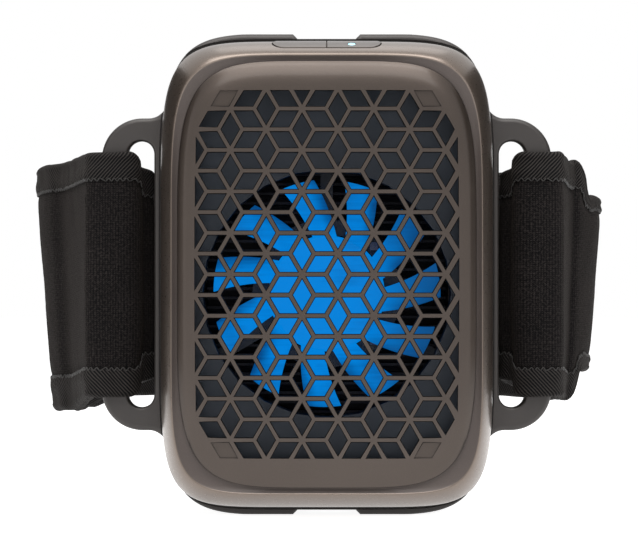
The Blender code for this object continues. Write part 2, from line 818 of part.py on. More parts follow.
def middle_of(cell):
    return (sum(x for x, _ in cell) / len(cell), sum(z for _, z in cell) / len(cell))


def fit_cell(cell):
    """Leave half a bar round a cell, and cut it to the window. Slivers are dropped."""
    opening = offset_loop(cell, BAR_WIDTH / 2)
    height = middle_of(cell)[1]
    side = WINDOW_HALF_WIDTH - WINDOW_BOW * (height / WINDOW_HALF_HEIGHT) ** 2
    top = WINDOW_HALF_HEIGHT - BAR_WIDTH / 2
    for normal, limit in (((1, 0), side), ((-1, 0), side), ((0, 1), top), ((0, -1), top)):
        opening = clip_cell(opening, normal, limit)
    if len(opening) < 3 or cell_area(opening) < LEAST_CELL_SHARE * CELL_SIDE ** 2:
        return None
    return opening


def lattice_cells():
    """The open and the blind cells of the tumbling-block grille, upper half first and then mirrored."""
    column = 1.5 * CELL_SIDE
    row = math.sqrt(3) * CELL_SIDE
    columns = math.ceil(2 * WINDOW_HALF_WIDTH / column)
    rows = math.ceil(WINDOW_HALF_HEIGHT / row) + 1
    top_row = WINDOW_HALF_HEIGHT - TOP_ROW_SHARE * row
    stars = []
    for step in range(-columns, columns + 1):
        lift = row / 2 if step % 2 else 0.0
        for level in range(-2, rows):
            stars.append((LATTICE_SHIFT + step * column, lift + level * row))
    last_star = max(x for x, _ in stars if x < WINDOW_HALF_WIDTH)
    open_cells = []
    blind_cells = []
    for star in stars:
        for direction in range(3):
            cell = rhombus(star, direction, direction + 1)
            across, up = middle_of(cell)
            if up < -MIDDLE_TOLERANCE or abs(across) > WINDOW_HALF_WIDTH:
                continue
            if up > top_row and across < -LEFT_CORNER_SHARE * WINDOW_HALF_WIDTH:
                if direction == 1 and abs(star[0]) < RIGHT_CORNER_SHARE * WINDOW_HALF_WIDTH:
                    blind_cells.append(rhombus(star, 1, 3))
            elif up > top_row and across > RIGHT_CORNER_SHARE * WINDOW_HALF_WIDTH:
                continue
            elif up > top_row and across > BLIND_CORNER_SHARE * WINDOW_HALF_WIDTH:
                blind_cells.append(cell)
            else:
                open_cells.append(cell)
                edge_cell = across < -WINDOW_HALF_WIDTH + column / 2 and direction == 1
                if edge_cell and -across - last_star >= CELL_SIDE / 2:
                    open_cells.append([(-x, z) for x, z in reversed(cell)])
    return mirrored_down(open_cells), mirrored_down(blind_cells)


def mirrored_down(cells):
    openings = []
    for cell in cells:
        opening = fit_cell(cell)
        if opening is None:
            continue
        openings.append(opening)
        if middle_of(cell)[1] > MIDDLE_TOLERANCE:
            openings.append([(x, -z) for x, z in reversed(opening)])
    return openings


def make_grille_panel(surface):
    """The crowned panel, hollowed behind its flat field, with the cells of the lattice cut through."""
    rim = superellipse(PANEL_HALF_WIDTH, PANEL_HALF_HEIGHT, PANEL_EXPONENT)
    hollow = superellipse(PANEL_HALF_WIDTH - PANEL_RECESS_INSET, PANEL_HALF_HEIGHT - PANEL_RECESS_INSET,
                          PANEL_EXPONENT)
    rings = [ring(hollow, GRILLE_BACK_Y), ring(hollow, PANEL_BACK_Y), ring(rim, PANEL_BACK_Y)]
    for step in range(CROWN_STEPS + 1):
        angle = step / CROWN_STEPS * math.pi / 2
        inset = CROWN_INSET * (1 - math.cos(angle))
        outline = superellipse(PANEL_HALF_WIDTH - inset, PANEL_HALF_HEIGHT - inset, PANEL_EXPONENT)
        rings.append(ring(outline, PANEL_Y + CROWN_DEPTH * (1 - math.sin(angle))))
    panel = loft("grille_panel", rings, surface)
    open_cells, blind_cells = lattice_cells()
    holes = bmesh.new()
    for cell in open_cells:
        add_loft(holes, [ring(cell, PANEL_Y - CUT_OVERRUN), ring(cell, PANEL_BACK_Y + CUT_OVERRUN)])
    for cell in blind_cells:
        add_loft(holes, [ring(cell, PANEL_Y - CUT_OVERRUN), ring(cell, PANEL_Y + BLIND_CELL_DEPTH)])
    cut(panel, holes)


def make_front_shroud(surface):
    """The dark plate behind the grille, open over the fan and notched round the screw bosses."""
    outline = superellipse(LEDGE_HALF_WIDTH + SHROUD_LAP, LEDGE_HALF_HEIGHT + SHROUD_LAP, PANEL_EXPONENT)
    shroud = plate("front_shroud", outline, [circle(DUCT_RADIUS, (0.0, FAN_Z))],
                   SHROUD_Y, SHROUD_Y + SHROUD_THICKNESS, 0.0, surface)
    notches = bmesh.new()
    for place in corner_places(BOSS_X, BOSS_Z):
        radius = BOSS_RADIUS + FIT_GAP
        add_turned(notches, [(radius, SHROUD_Y - CUT_OVERRUN),
                             (radius, SHROUD_Y + SHROUD_THICKNESS + CUT_OVERRUN)], place)
    cut(shroud, notches)


def make_fan_frame(surface):
    """The fan's square frame, with the duct, a motor base on three struts and four screw holes."""
    square = superellipse(FAN_HALF_SIZE, FAN_HALF_SIZE, 2 * CASE_EXPONENT, ROUND_SEGMENTS)
    frame = plate("fan_frame", shifted(square, 0.0, FAN_Z), [circle(DUCT_RADIUS, (0.0, FAN_Z))],
                  FAN_Y, FAN_BACK_Y, 0.0, surface)
    base_front = FAN_BACK_Y - MOTOR_BASE_THICKNESS
    for turn in range(STRUT_COUNT):
        strut = bmesh.new()
        add_box(strut, (-STRUT_WIDTH / 2, base_front, 0.0),
                (STRUT_WIDTH / 2, FAN_BACK_Y, DUCT_RADIUS + JOIN_OVERLAP))
        middle = Vector((0.0, 0.0, CASE_Z))
        swing = Matrix.Rotation(2 * math.pi * turn / STRUT_COUNT, 4, 'Y')
        bmesh.ops.transform(strut, matrix=Matrix.Translation(middle + Vector((0.0, 0.0, FAN_Z))) @ swing
                            @ Matrix.Translation(-middle), verts=strut.verts)
        join(frame, strut)
    base = bmesh.new()
    add_turned(base, [(MOTOR_BASE_RADIUS, base_front), (MOTOR_BASE_RADIUS, FAN_BACK_Y)], (0.0, FAN_Z),
               ROUND_SEGMENTS)
    join(frame, base)
    holes = bmesh.new()
    for place in corner_places(FAN_SCREW_OFFSET, FAN_SCREW_OFFSET, FAN_Z):
        add_turned(holes, [(HEAD_HOLE_RADIUS, FAN_Y - CUT_OVERRUN),
                           (HEAD_HOLE_RADIUS, FAN_Y + SCREW_HEAD_HEIGHT + FIT_GAP),
                           (SCREW_HOLE_RADIUS, FAN_Y + SCREW_HEAD_HEIGHT + FIT_GAP),
                           (SCREW_HOLE_RADIUS, FAN_BACK_Y + CUT_OVERRUN)], place)
    cut(frame, holes)


def blade_point(share_out, share_along, turn):
    """A point on the middle surface of a swept, pitched blade."""
    root = HUB_RADIUS - HUB_WALL / 2
    radius = root + (BLADE_RADIUS - root) * share_out
    chord = BLADE_CHORD * (BLADE_ROOT_SHARE + (1 - BLADE_ROOT_SHARE) * share_out) / radius
    angle = BLADE_START + turn + BLADE_SWEEP * share_out + chord * (share_along - 0.5)
    depth = FAN_Y + FIT_GAP + HUB_ROUNDING + BLADE_RISE * share_along
    return Vector((radius * math.cos(angle), depth, radius * math.sin(angle) + FAN_Z + CASE_Z))


def add_blade(bm, turn):
    """One thin blade as a closed sheet with two faces and four edges."""
    sheets = []
    for lift in (0.0, BLADE_THICKNESS):
        sheet = []
        for station in range(BLADE_STATIONS):
            line = []
            for step in range(BLADE_CHORD_STEPS):
                point = blade_point(station / (BLADE_STATIONS - 1), step / (BLADE_CHORD_STEPS - 1), turn)
                line.append(bm.verts.new(point + Vector((0.0, lift, 0.0))))
            sheet.append(line)
        sheets.append(sheet)
    front, back = sheets
    for sheet in sheets:
        for near, far in zip(sheet, sheet[1:]):
            for step in range(BLADE_CHORD_STEPS - 1):
                bm.faces.new((near[step], near[step + 1], far[step + 1], far[step]))
    for near, far in ((front[0], back[0]), (front[-1], back[-1])):
        for step in range(BLADE_CHORD_STEPS - 1):
            bm.faces.new((near[step], near[step + 1], far[step + 1], far[step]))
    for end in (0, -1):
        for station in range(BLADE_STATIONS - 1):
            bm.faces.new((front[station][end], front[station + 1][end],
                          back[station + 1][end], back[station][end]))


def rotor_front():
    return FAN_Y + FIT_GAP


def make_fan_rotor(surface):
    """The hub cup with its blades."""
    front = rotor_front()
    back = front + HUB_DEPTH
    inner = HUB_RADIUS - HUB_WALL
    profile = [(HUB_RADIUS - HUB_ROUNDING, front), (HUB_RADIUS, front + HUB_ROUNDING), (HUB_RADIUS, back),
               (inner, back), (inner, front + HUB_WALL)]
    rotor = turned("fan_rotor", profile, (0.0, FAN_Z), surface, HUB_SEGMENTS)
    blades = bmesh.new()
    for number in range(BLADE_COUNT):
        add_blade(blades, 2 * math.pi * number / BLADE_COUNT)
    join(rotor, blades)
    return rotor


def make_fan_shaft(surface):
    front = rotor_front() + HUB_WALL + FIT_GAP
    back = FAN_BACK_Y - MOTOR_BASE_THICKNESS - FIT_GAP
    return turned("fan_shaft", [(SHAFT_RADIUS, front), (SHAFT_RADIUS, back)], (0.0, FAN_Z), surface,
                  SMALL_SEGMENTS)


def make_fan_magnet_ring(surface):
    outer = HUB_RADIUS - HUB_WALL - FIT_GAP
    return tube("fan_magnet_ring", outer - MAGNET_THICKNESS, outer, rotor_front() + HUB_WALL + FIT_GAP,
                rotor_front() + HUB_DEPTH - HUB_ROUNDING, (0.0, FAN_Z), surface)


def make_fan_bearing(surface):
    tube("fan_bearing", SHAFT_RADIUS + FIT_GAP, BEARING_RADIUS,
         rotor_front() + HUB_WALL + 2 * FIT_GAP, FAN_BACK_Y - MOTOR_BASE_THICKNESS - FIT_GAP,
         (0.0, FAN_Z), surface)


def make_fan_stator(surface):
    outer = (HUB_RADIUS - HUB_WALL - MAGNET_THICKNESS) * STATOR_SHARE + BEARING_RADIUS * (1 - STATOR_SHARE)
    tube("fan_stator", BEARING_RADIUS + FIT_GAP, outer, rotor_front() + HUB_WALL + 3 * FIT_GAP,
         FAN_BACK_Y - MOTOR_BASE_THICKNESS - FIT_GAP, (0.0, FAN_Z), surface)


def light_ring_back():
    return FAN_BACK_Y - MOTOR_BASE_THICKNESS - FIT_GAP


def make_light_ring(surface):
    inner = HUB_RADIUS + FIT_GAP
    back = light_ring_back()
    tube("light_ring", inner, inner + LIGHT_RING_WIDTH, back - LIGHT_RING_THICKNESS, back,
         (0.0, FAN_Z), surface)


def make_light_chips(surface):
    """Small square lamps on the ring board, facing the blades."""
    radius = HUB_RADIUS + FIT_GAP + LIGHT_RING_WIDTH / 2
    back = light_ring_back() - LIGHT_RING_THICKNESS - FIT_GAP
    for number in range(LAMP_COUNT):
        angle = 2 * math.pi * (number + 0.5) / LAMP_COUNT
        x = radius * math.cos(angle)
        z = radius * math.sin(angle) + FAN_Z
        half = LAMP_SIZE / 2
        box(f"light_chip_{number + 1}", (x - half, back - LAMP_HEIGHT, z - half),
            (x + half, back, z + half), surface)


def make_heat_sink(surface):
    """A comb of flat fins that face the fan, on one base plate, with four screw holes."""
    fins = max(int(2 * SINK_HALF_SIZE / FIN_PITCH), 2)
    pitch = (2 * SINK_HALF_SIZE - FIN_THICKNESS) / (fins - 1)
    tips = SINK_Y
    floor = SINK_BACK_Y - SINK_BASE
    profile = [(SINK_BACK_Y, SINK_HALF_SIZE), (SINK_BACK_Y, -SINK_HALF_SIZE)]
    for number in range(fins):
        low = -SINK_HALF_SIZE + number * pitch
        high = low + FIN_THICKNESS
        profile += [(tips, low), (tips, high)]
        if number < fins - 1:
            profile += [(floor, high), (floor, low + pitch)]
    rings = []
    for side in (-1, 1):
        rings.append([(side * SINK_HALF_SIZE, y, z + FAN_Z + CASE_Z) for y, z in profile])
    sink = loft("heat_sink", rings, surface)
    holes = bmesh.new()
    for place in corner_places(FAN_SCREW_OFFSET, FAN_SCREW_OFFSET, FAN_Z):
        add_turned(holes, [(SCREW_HOLE_RADIUS, SINK_Y - CUT_OVERRUN),
                           (SCREW_HOLE_RADIUS, SINK_BACK_Y + CUT_OVERRUN)], place)
    cut(sink, holes)


def make_square_sheet(name, half_size, front, thickness, surface):
    box(name, (-half_size, front, FAN_Z - half_size),
        (half_size, front + thickness, FAN_Z + half_size), surface)


def make_thermocouple_legs(surface):
    """A grid of small blocks between the two ceramic faces, held by a thin web across their middle."""
    middle = LEGS_Y + LEG_HEIGHT / 2
    reach = CERAMIC_HALF_SIZE - LEG_SIZE / 2
    grid = box("thermocouple_legs", (-reach, middle - LEG_WEB / 2, FAN_Z - reach),
               (reach, middle + LEG_WEB / 2, FAN_Z + reach), surface)
    bm = bmesh.new()
    pitch = 2 * CERAMIC_HALF_SIZE / LEG_PER_SIDE
    for column in range(LEG_PER_SIDE):
        for row in range(LEG_PER_SIDE):
            x = -CERAMIC_HALF_SIZE + (column + 0.5) * pitch
            z = -CERAMIC_HALF_SIZE + (row + 0.5) * pitch + FAN_Z
            half = LEG_SIZE / 2
            add_box(bm, (x - half, LEGS_Y, z - half), (x + half, LEGS_Y + LEG_HEIGHT, z + half))
    join(grid, bm)


def make_thermistor(surface):
    """A round sensor bead along the top edge of the spreader block."""
    up = FAN_Z + SPREADER_HALF_SIZE + FIT_GAP + BEAD_RADIUS
    middle = SPREADER_Y + SPREADER_THICKNESS / 2
    rings = []
    for end in (-1, 1):
        outline = circle(BEAD_RADIUS, (middle, up), SMALL_SEGMENTS)
        rings.append([(end * BEAD_LENGTH / 2, y, z + CASE_Z) for y, z in outline])
    loft("thermistor", rings, surface)


def make_treatment_plate(surface):
    """The metal plate that lies on the skin, with four standoffs for the fan screws."""
    outline = superellipse(PLATE_HALF_WIDTH, PLATE_HALF_HEIGHT, PANEL_EXPONENT)
    rings = [ring(outline, PLATE_Y), ring(outline, PLATE_BACK_Y - PLATE_ROUNDING)]
    for step in range(1, BACK_STEPS + 1):
        angle = step / BACK_STEPS * math.pi / 2
        inset = PLATE_ROUNDING * (1 - math.cos(angle))
        rounded = superellipse(PLATE_HALF_WIDTH - inset, PLATE_HALF_HEIGHT - inset, PANEL_EXPONENT)
        rings.append(ring(rounded, PLATE_BACK_Y - PLATE_ROUNDING * (1 - math.sin(angle))))
    skin_plate = loft("treatment_plate", rings, surface)
    standoffs = bmesh.new()
    holes = bmesh.new()
    for place in corner_places(FAN_SCREW_OFFSET, FAN_SCREW_OFFSET, FAN_Z):
        add_turned(standoffs, [(STANDOFF_RADIUS, SINK_BACK_Y + FIT_GAP),
                               (STANDOFF_RADIUS, PLATE_Y + JOIN_OVERLAP)], place)
        add_turned(holes, [(SCREW_HOLE_RADIUS, SINK_BACK_Y - CUT_OVERRUN),
                           (SCREW_HOLE_RADIUS, PLATE_Y + FIT_GAP)], place)
    join(skin_plate, standoffs)
    cut(skin_plate, holes)


def make_plate_gasket(surface):
    """A soft ring between the plate's edge and the opening in the rear housing."""
    inner = superellipse(PLATE_HALF_WIDTH + FIT_GAP, PLATE_HALF_HEIGHT + FIT_GAP, PANEL_EXPONENT)
    outer = superellipse(PLATE_HALF_WIDTH + FIT_GAP + GASKET_WIDTH,
                         PLATE_HALF_HEIGHT + FIT_GAP + GASKET_WIDTH, PANEL_EXPONENT)
    front = REAR_BACK_Y - GASKET_DEPTH
    rings = [ring(outer, front), ring(outer, REAR_BACK_Y), ring(inner, REAR_BACK_Y), ring(inner, front)]
    loft("plate_gasket", rings, surface, closed=True)


def rim_side(height):
    """How far out the rim's side stands at a height."""
    return outline_height(height, RIM_HALF_HEIGHT + RIM_FLAT, RIM_HALF_WIDTH, RIM_EXPONENT)


def rim_quadrant(start_height):
    """The rim's upper right quarter, from a height on its side to the notch at the middle."""
    full = RIM_HALF_HEIGHT + RIM_FLAT
    start = math.asin((start_height / full) ** (RIM_EXPONENT / 2))
    end = math.acos(((NOTCH_HALF_WIDTH + NOTCH_DEPTH) / RIM_HALF_WIDTH) ** (RIM_EXPONENT / 2))
    points = []
    for step in range(RIM_STEPS + 1):
        angle = start + (end - start) * step / RIM_STEPS
        across = RIM_HALF_WIDTH * math.cos(angle) ** (2 / RIM_EXPONENT)
        up = full * math.sin(angle) ** (2 / RIM_EXPONENT)
        points.append((across, min(up, RIM_HALF_HEIGHT)))
    points.append((NOTCH_HALF_WIDTH, RIM_HALF_HEIGHT - NOTCH_DEPTH))
    return points


def winged_outline():
    """The rear frame's outer edge: the rim, with a rounded wing on each side."""
    fillet_room = WING_HALF_WIDTH - WING_CORNER - rim_side(WING_HALF_HEIGHT)
    fillet = min(WING_FILLET, fillet_room)
    side = rim_side(WING_HALF_HEIGHT + fillet)
    quadrant = arc((WING_HALF_WIDTH - WING_CORNER, WING_HALF_HEIGHT - WING_CORNER), WING_CORNER,
                   0.0, math.pi / 2, ARC_STEPS)
    quadrant += arc((side + fillet, WING_HALF_HEIGHT + fillet), fillet, 1.5 * math.pi, math.pi, ARC_STEPS)
    quadrant += rim_quadrant(WING_HALF_HEIGHT + fillet)[1:]
    return four_way(quadrant)


def slot_outline(side):
    """A strap slot with round ends, between the rim and the wing's outer bar."""
    radius = (SLOT_OUTER_X - SLOT_INNER_X) / 2
    reach = SLOT_HALF_HEIGHT - radius
    middle = side * (SLOT_OUTER_X + SLOT_INNER_X) / 2
    return (arc((middle, reach), radius, 0.0, math.pi, ARC_STEPS)
            + arc((middle, -reach), radius, math.pi, 2 * math.pi, ARC_STEPS))


def make_strap_frame(surface):
    opening = superellipse(FRAME_INNER_WIDTH, FRAME_INNER_HEIGHT, RIM_EXPONENT)
    plate("strap_frame", winged_outline(), [opening, slot_outline(-1), slot_outline(1)],
          FRAME_Y, FRAME_BACK_Y, RIM_CHAMFER, surface)


def board_post_places():
    """The board posts stand between the plate's opening and the housing's end wall."""
    up = -(REAR_INNER_HEIGHT + PLATE_HALF_HEIGHT + 2 * FIT_GAP + GASKET_WIDTH) / 2
    return [(side * BOARD_POST_SPACING, up) for side in (-1, 1)]


def main_board_back():
    return port_middle_y() + PORT_THICKNESS / 2 + FIT_GAP + MAIN_BOARD_THICKNESS


def port_middle_y():
    return REAR_Y + PORT_SETBACK


def make_rear_housing(surface):
    """The rear tub, open at the front, with the plate's opening, bosses, vents and the port's hole."""
    rim = four_way(rim_quadrant(0.0))
    rings = [ring(rim, REAR_Y)]
    for step in range(BACK_STEPS + 1):
        angle = step / BACK_STEPS * math.pi / 2
        outline = offset_loop(rim, BACK_ROUNDING * (1 - math.cos(angle)))
        rings.append(ring(outline, REAR_BACK_Y - BACK_ROUNDING * (1 - math.sin(angle))))
    housing = loft("rear_housing", rings, surface)
    cavity = bmesh.new()
    inner = superellipse(REAR_INNER_WIDTH, REAR_INNER_HEIGHT, RIM_EXPONENT)
    add_loft(cavity, [ring(inner, REAR_Y - CUT_OVERRUN), ring(inner, REAR_INNER_Y)])
    cut(housing, cavity)
    opening = bmesh.new()
    margin = 2 * FIT_GAP + GASKET_WIDTH
    window = superellipse(PLATE_HALF_WIDTH + margin, PLATE_HALF_HEIGHT + margin, PANEL_EXPONENT)
    add_loft(opening, [ring(window, REAR_INNER_Y - CUT_OVERRUN), ring(window, REAR_BACK_Y + CUT_OVERRUN)])
    cut(housing, opening)
    posts = bmesh.new()
    for place in corner_places(BOSS_X, BOSS_Z):
        add_turned(posts, [(BOSS_RADIUS, SPLIT_Y + FIT_GAP),
                           (BOSS_RADIUS, REAR_INNER_Y + JOIN_OVERLAP)], place)
    for place in board_post_places():
        add_turned(posts, [(BOARD_POST_RADIUS, main_board_back() + FIT_GAP),
                           (BOARD_POST_RADIUS, REAR_INNER_Y + JOIN_OVERLAP)], place)
    join(housing, posts)
    holes = bmesh.new()
    head_seat = REAR_BACK_Y - SCREW_HEAD_SETBACK
    for place in corner_places(BOSS_X, BOSS_Z):
        add_turned(holes, [(SCREW_HOLE_RADIUS, SPLIT_Y - CUT_OVERRUN),
                           (SCREW_HOLE_RADIUS, head_seat),
                           (HEAD_HOLE_RADIUS, head_seat),
                           (HEAD_HOLE_RADIUS, REAR_BACK_Y + CUT_OVERRUN)], place)
    for place in board_post_places():
        add_turned(holes, [(SCREW_HOLE_RADIUS, main_board_back() - CUT_OVERRUN),
                           (SCREW_HOLE_RADIUS, main_board_back() + BOARD_SCREW_BITE + FIT_GAP)], place)
    cut(housing, holes)
    openings = bmesh.new()
    add_port_shape(openings, PORT_WIDTH + 2 * FIT_GAP, PORT_THICKNESS + 2 * FIT_GAP,
                   -RIM_HALF_HEIGHT - CUT_OVERRUN, -REAR_INNER_HEIGHT + CUT_OVERRUN)
    vent_front = REAR_Y + VENT_FRONT_MARGIN
    for number in range(VENT_COUNT):
        middle = FAN_Z + (number - (VENT_COUNT - 1) / 2) * VENT_PITCH
        for side in (-1, 1):
            near = side * (REAR_INNER_WIDTH - CUT_OVERRUN)
            far = side * (RIM_HALF_WIDTH + CUT_OVERRUN)
            add_box(openings, (min(near, far), vent_front, middle - VENT_HEIGHT / 2),
                    (max(near, far), vent_front + VENT_DEPTH, middle + VENT_HEIGHT / 2))
    cut(housing, openings)


def port_outline(width, thickness):
    """A flat oval seen from below, in x and y."""
    radius = thickness / 2
    reach = width / 2 - radius
    middle = port_middle_y()
    return (arc((reach, middle), radius, -math.pi / 2, math.pi / 2, ARC_STEPS)
            + arc((-reach, middle), radius, math.pi / 2, 1.5 * math.pi, ARC_STEPS))


def add_port_shape(bm, width, thickness, low, high):
    outline = port_outline(width, thickness)
    add_loft(bm, [[(x, y, low + CASE_Z) for x, y in outline], [(x, y, high + CASE_Z) for x, y in outline]])


def make_charging_port(surface):
    """A small oval metal shell, open at the bottom, with its contact tongue."""
    mouth = -RIM_HALF_HEIGHT + NOTCH_DEPTH
    top = mouth + PORT_LENGTH
    bm = bmesh.new()
    add_port_shape(bm, PORT_WIDTH, PORT_THICKNESS, mouth, top)
    port = add_object("charging_port", bm, surface)
    hollow = bmesh.new()
    add_port_shape(hollow, PORT_WIDTH - 2 * PORT_WALL, PORT_THICKNESS - 2 * PORT_WALL,
                   mouth - CUT_OVERRUN, top - PORT_WALL)
    cut(port, hollow)
    tongue = bmesh.new()
    half_width = PORT_WIDTH / 2 - 4 * PORT_WALL
    add_box(tongue, (-half_width, port_middle_y() - PORT_WALL, mouth + 2 * PORT_WALL),
            (half_width, port_middle_y() + PORT_WALL, top - PORT_WALL / 2))
    join(port, tongue)


def main_board_top():
    return FAN_Z - FAN_HALF_SIZE - STACK_CLEARANCE


def main_board_bottom():
    reach = outline_height(STACK_HALF_LENGTH, REAR_INNER_WIDTH, REAR_INNER_HEIGHT, RIM_EXPONENT)
    return -reach + STACK_CLEARANCE


def make_main_board(surface):
    back = main_board_back()
    board = box("main_board", (-STACK_HALF_LENGTH, back - MAIN_BOARD_THICKNESS, main_board_bottom()),
                (STACK_HALF_LENGTH, back, main_board_top()), surface)
    holes = bmesh.new()
    for place in board_post_places():
        add_turned(holes, [(SCREW_HOLE_RADIUS, back - MAIN_BOARD_THICKNESS - CUT_OVERRUN),
                           (SCREW_HOLE_RADIUS, back + CUT_OVERRUN)], place)
    cut(board, holes)


def make_board_chips(surface):
    """Three flat chips on the board's front, clear of the port below them."""
    back = main_board_back() - MAIN_BOARD_THICKNESS - FIT_GAP
    top = main_board_top() - STACK_CLEARANCE
    low = top - CHIP_WIDTH / 2
    for number in (-1, 0, 1):
        middle = number * CHIP_SPACING
        box(f"board_chip_{number + 2}", (middle - CHIP_WIDTH / 2, back - CHIP_HEIGHT, low),
            (middle + CHIP_WIDTH / 2, back, top), surface)


def cradle_back():
    return PLATE_Y - FIT_GAP


def cradle_low():
    return FAN_Z + FAN_HALF_SIZE + STACK_CLEARANCE


def cradle_high():
    return outline_height(STACK_HALF_LENGTH, FRAME_INNER_WIDTH, FRAME_INNER_HEIGHT,
                          RIM_EXPONENT) - STACK_CLEARANCE


def cradle_front():
    return cradle_back() - CRADLE_WALL - 2 * BATTERY_THICKNESS - 2 * FIT_GAP


def make_battery_cradle(surface):
    """A channel that holds the two cells, open to the front."""
    back = cradle_back()
    low = cradle_low()
    high = cradle_high()
    front = cradle_front()
    profile = [(front, low), (back, low), (back, high), (front, high), (front, high - CRADLE_WALL),
               (back - CRADLE_WALL, high - CRADLE_WALL), (back - CRADLE_WALL, low + CRADLE_WALL),
               (front, low + CRADLE_WALL)]
    rings = []
    for side in (-1, 1):
        rings.append([(side * STACK_HALF_LENGTH, y, z + CASE_Z) for y, z in profile])
    loft("battery_cradle", rings, surface)


def make_battery(name, back, surface):
    """A flat pouch cell with rounded long edges."""
    low = cradle_low() + CRADLE_WALL + FIT_GAP
    high = cradle_high() - CRADLE_WALL - FIT_GAP
    front = back - BATTERY_THICKNESS
    radius = BATTERY_ROUNDING
    profile = arc((back - radius, high - radius), radius, 0.0, math.pi / 2, 2)
    profile += arc((front + radius, high - radius), radius, math.pi / 2, math.pi, 2)
    profile += arc((front + radius, low + radius), radius, math.pi, 1.5 * math.pi, 2)
    profile += arc((back - radius, low + radius), radius, 1.5 * math.pi, 2 * math.pi, 2)
    rings = []
    for side in (-1, 1):
        reach = side * (STACK_HALF_LENGTH - STACK_CLEARANCE)
        rings.append([(reach, y, z + CASE_Z) for y, z in profile])
    loft(name, rings, surface)


def screw(name, place, head, tip, surface):
    """A pan-head screw along Y from its head's outer face to its tip."""
    toward = 1.0 if tip > head else -1.0
    under = head + toward * SCREW_HEAD_HEIGHT
    turned(name, [(SCREW_HEAD_RADIUS, head), (SCREW_HEAD_RADIUS, under), (SCREW_SHANK_RADIUS, under),
                  (SCREW_SHANK_RADIUS, tip)], place, surface, SMALL_SEGMENTS)


def make_housing_screws(surface):
    """Four screws from the back, through the rear bosses into the front ones."""
    seat = REAR_BACK_Y - SCREW_HEAD_SETBACK
    head = seat + FIT_GAP + SCREW_HEAD_HEIGHT
    for number, place in enumerate(corner_places(BOSS_X, BOSS_Z)):
        screw(f"housing_screw_{number + 1}", place, head, SPLIT_Y - SCREW_BITE, surface)


def make_fan_screws(surface):
    """Four long screws through the fan's corners and the heat sink into the plate's standoffs."""
    for number, place in enumerate(corner_places(FAN_SCREW_OFFSET, FAN_SCREW_OFFSET, FAN_Z)):
        screw(f"fan_screw_{number + 1}", place, FAN_Y, PLATE_Y, surface)


def make_board_screws(surface):
    face = main_board_back() - MAIN_BOARD_THICKNESS
    for number, place in enumerate(board_post_places()):
        screw(f"board_screw_{number + 1}", place, face - FIT_GAP - SCREW_HEAD_HEIGHT,
              main_board_back() + BOARD_SCREW_BITE, surface)


def smooth_path(points):
    """A curve through points, by the Catmull-Rom rule."""
    ends = [points[0]] + list(points) + [points[-1]]
    path = []
    for index in range(1, len(ends) - 2):
        before, start, end, after = (Vector(ends[index + shift]) for shift in (-1, 0, 1, 2))
        for step in range(SPLINE_STEPS):
            t = step / SPLINE_STEPS
            path.append(0.5 * (2 * start + (end - before) * t
                               + (2 * before - 5 * start + 4 * end - after) * t ** 2
                               + (3 * start - before - 3 * end + after) * t ** 3))
    path.append(Vector(ends[-2]))
    return path


def loop_point(angle, grown=0.0, inset=0.0):
    """A point on the strap's loop round the limb, seen from above, and how much narrower the strap is."""
    return (LOOP_CENTRE_X + (LOOP_REACH + grown) * math.cos(angle),
            WING_MID_Y + LOOP_SETBACK + (LOOP_HALF_DEPTH + grown) * math.sin(angle), inset)


def wrap_points(side):
    """Half a turn round a wing's outer bar, from its outer side past its front."""
    points = []
    for step in range(WRAP_STEPS + 1):
        angle = math.pi * step / WRAP_STEPS
        across = math.copysign(abs(math.cos(angle)) ** (2 / WRAP_EXPONENT), math.cos(angle))
        ahead = math.sin(angle) ** (2 / WRAP_EXPONENT)
        points.append((side * (BAR_X + WRAP_HALF_WIDTH * across),
                       WING_MID_Y - WRAP_HALF_DEPTH * ahead, 0.0))
    return points


def turn_point(side):
    """Where the inner layer bulges behind the slot before it turns outwards."""
    return (side * (BAR_X - WRAP_HALF_WIDTH - TURN_BULGE), WING_MID_Y + TURN_DEPTH, 0.0)


def strap_path():
    """The strap's middle line, from the outer flap round the right bar, the limb and the left bar."""
    points = []
    for step in range(PATCH_STEPS):
        angle = FLAP_END - (FLAP_END + TAB_START) * step / (PATCH_STEPS - 1)
        points.append(loop_point(angle, STRAP_PITCH, TAB_INSET))
    points += [loop_point(-angle, STRAP_PITCH) for angle in (FLAP_SHOULDER, LOOP_ENTRY)]
    points += wrap_points(1)
    points.append(turn_point(1))
    for step in range(LOOP_STEPS + 1):
        points.append(loop_point(-LOOP_ENTRY + (math.pi + 2 * LOOP_ENTRY) * step / LOOP_STEPS))
    points += wrap_points(-1)
    points.append(turn_point(-1))
    for step in range(PATCH_STEPS + 1):
        angle = math.pi + LOOP_ENTRY + (TAIL_END - LOOP_ENTRY) * step / PATCH_STEPS
        points.append(loop_point(angle, -STRAP_PITCH))
    return smooth_path(points)


def ribbon(name, path, thickness, low, high, surface):
    """A band of even thickness on edge along a path. Behind the wings it sinks and widens upwards."""
    rings = []
    for index, point in enumerate(path):
        ahead = path[min(index + 1, len(path) - 1)]
        behind = path[max(index - 1, 0)]
        along = (ahead - behind).xy.normalized()
        side = Vector((-along.y, along.x))
        share = min(max(point.y - WING_MID_Y, 0.0) / LOOP_SETBACK, 1.0)
        corners = []
        for offset, edge in ((-1, low), (1, low), (1, high), (-1, high)):
            place = point.xy + side * (offset * thickness / 2)
            height = edge - math.copysign(point.z, edge)
            taper = 1 + STRAP_TAPER_SHARE * share * height / (STRAP_WIDTH / 2)
            corners.append((place.x * taper, place.y, height - STRAP_DROP * share + CASE_Z))
        rings.append(corners)
    loft(name, rings, surface)


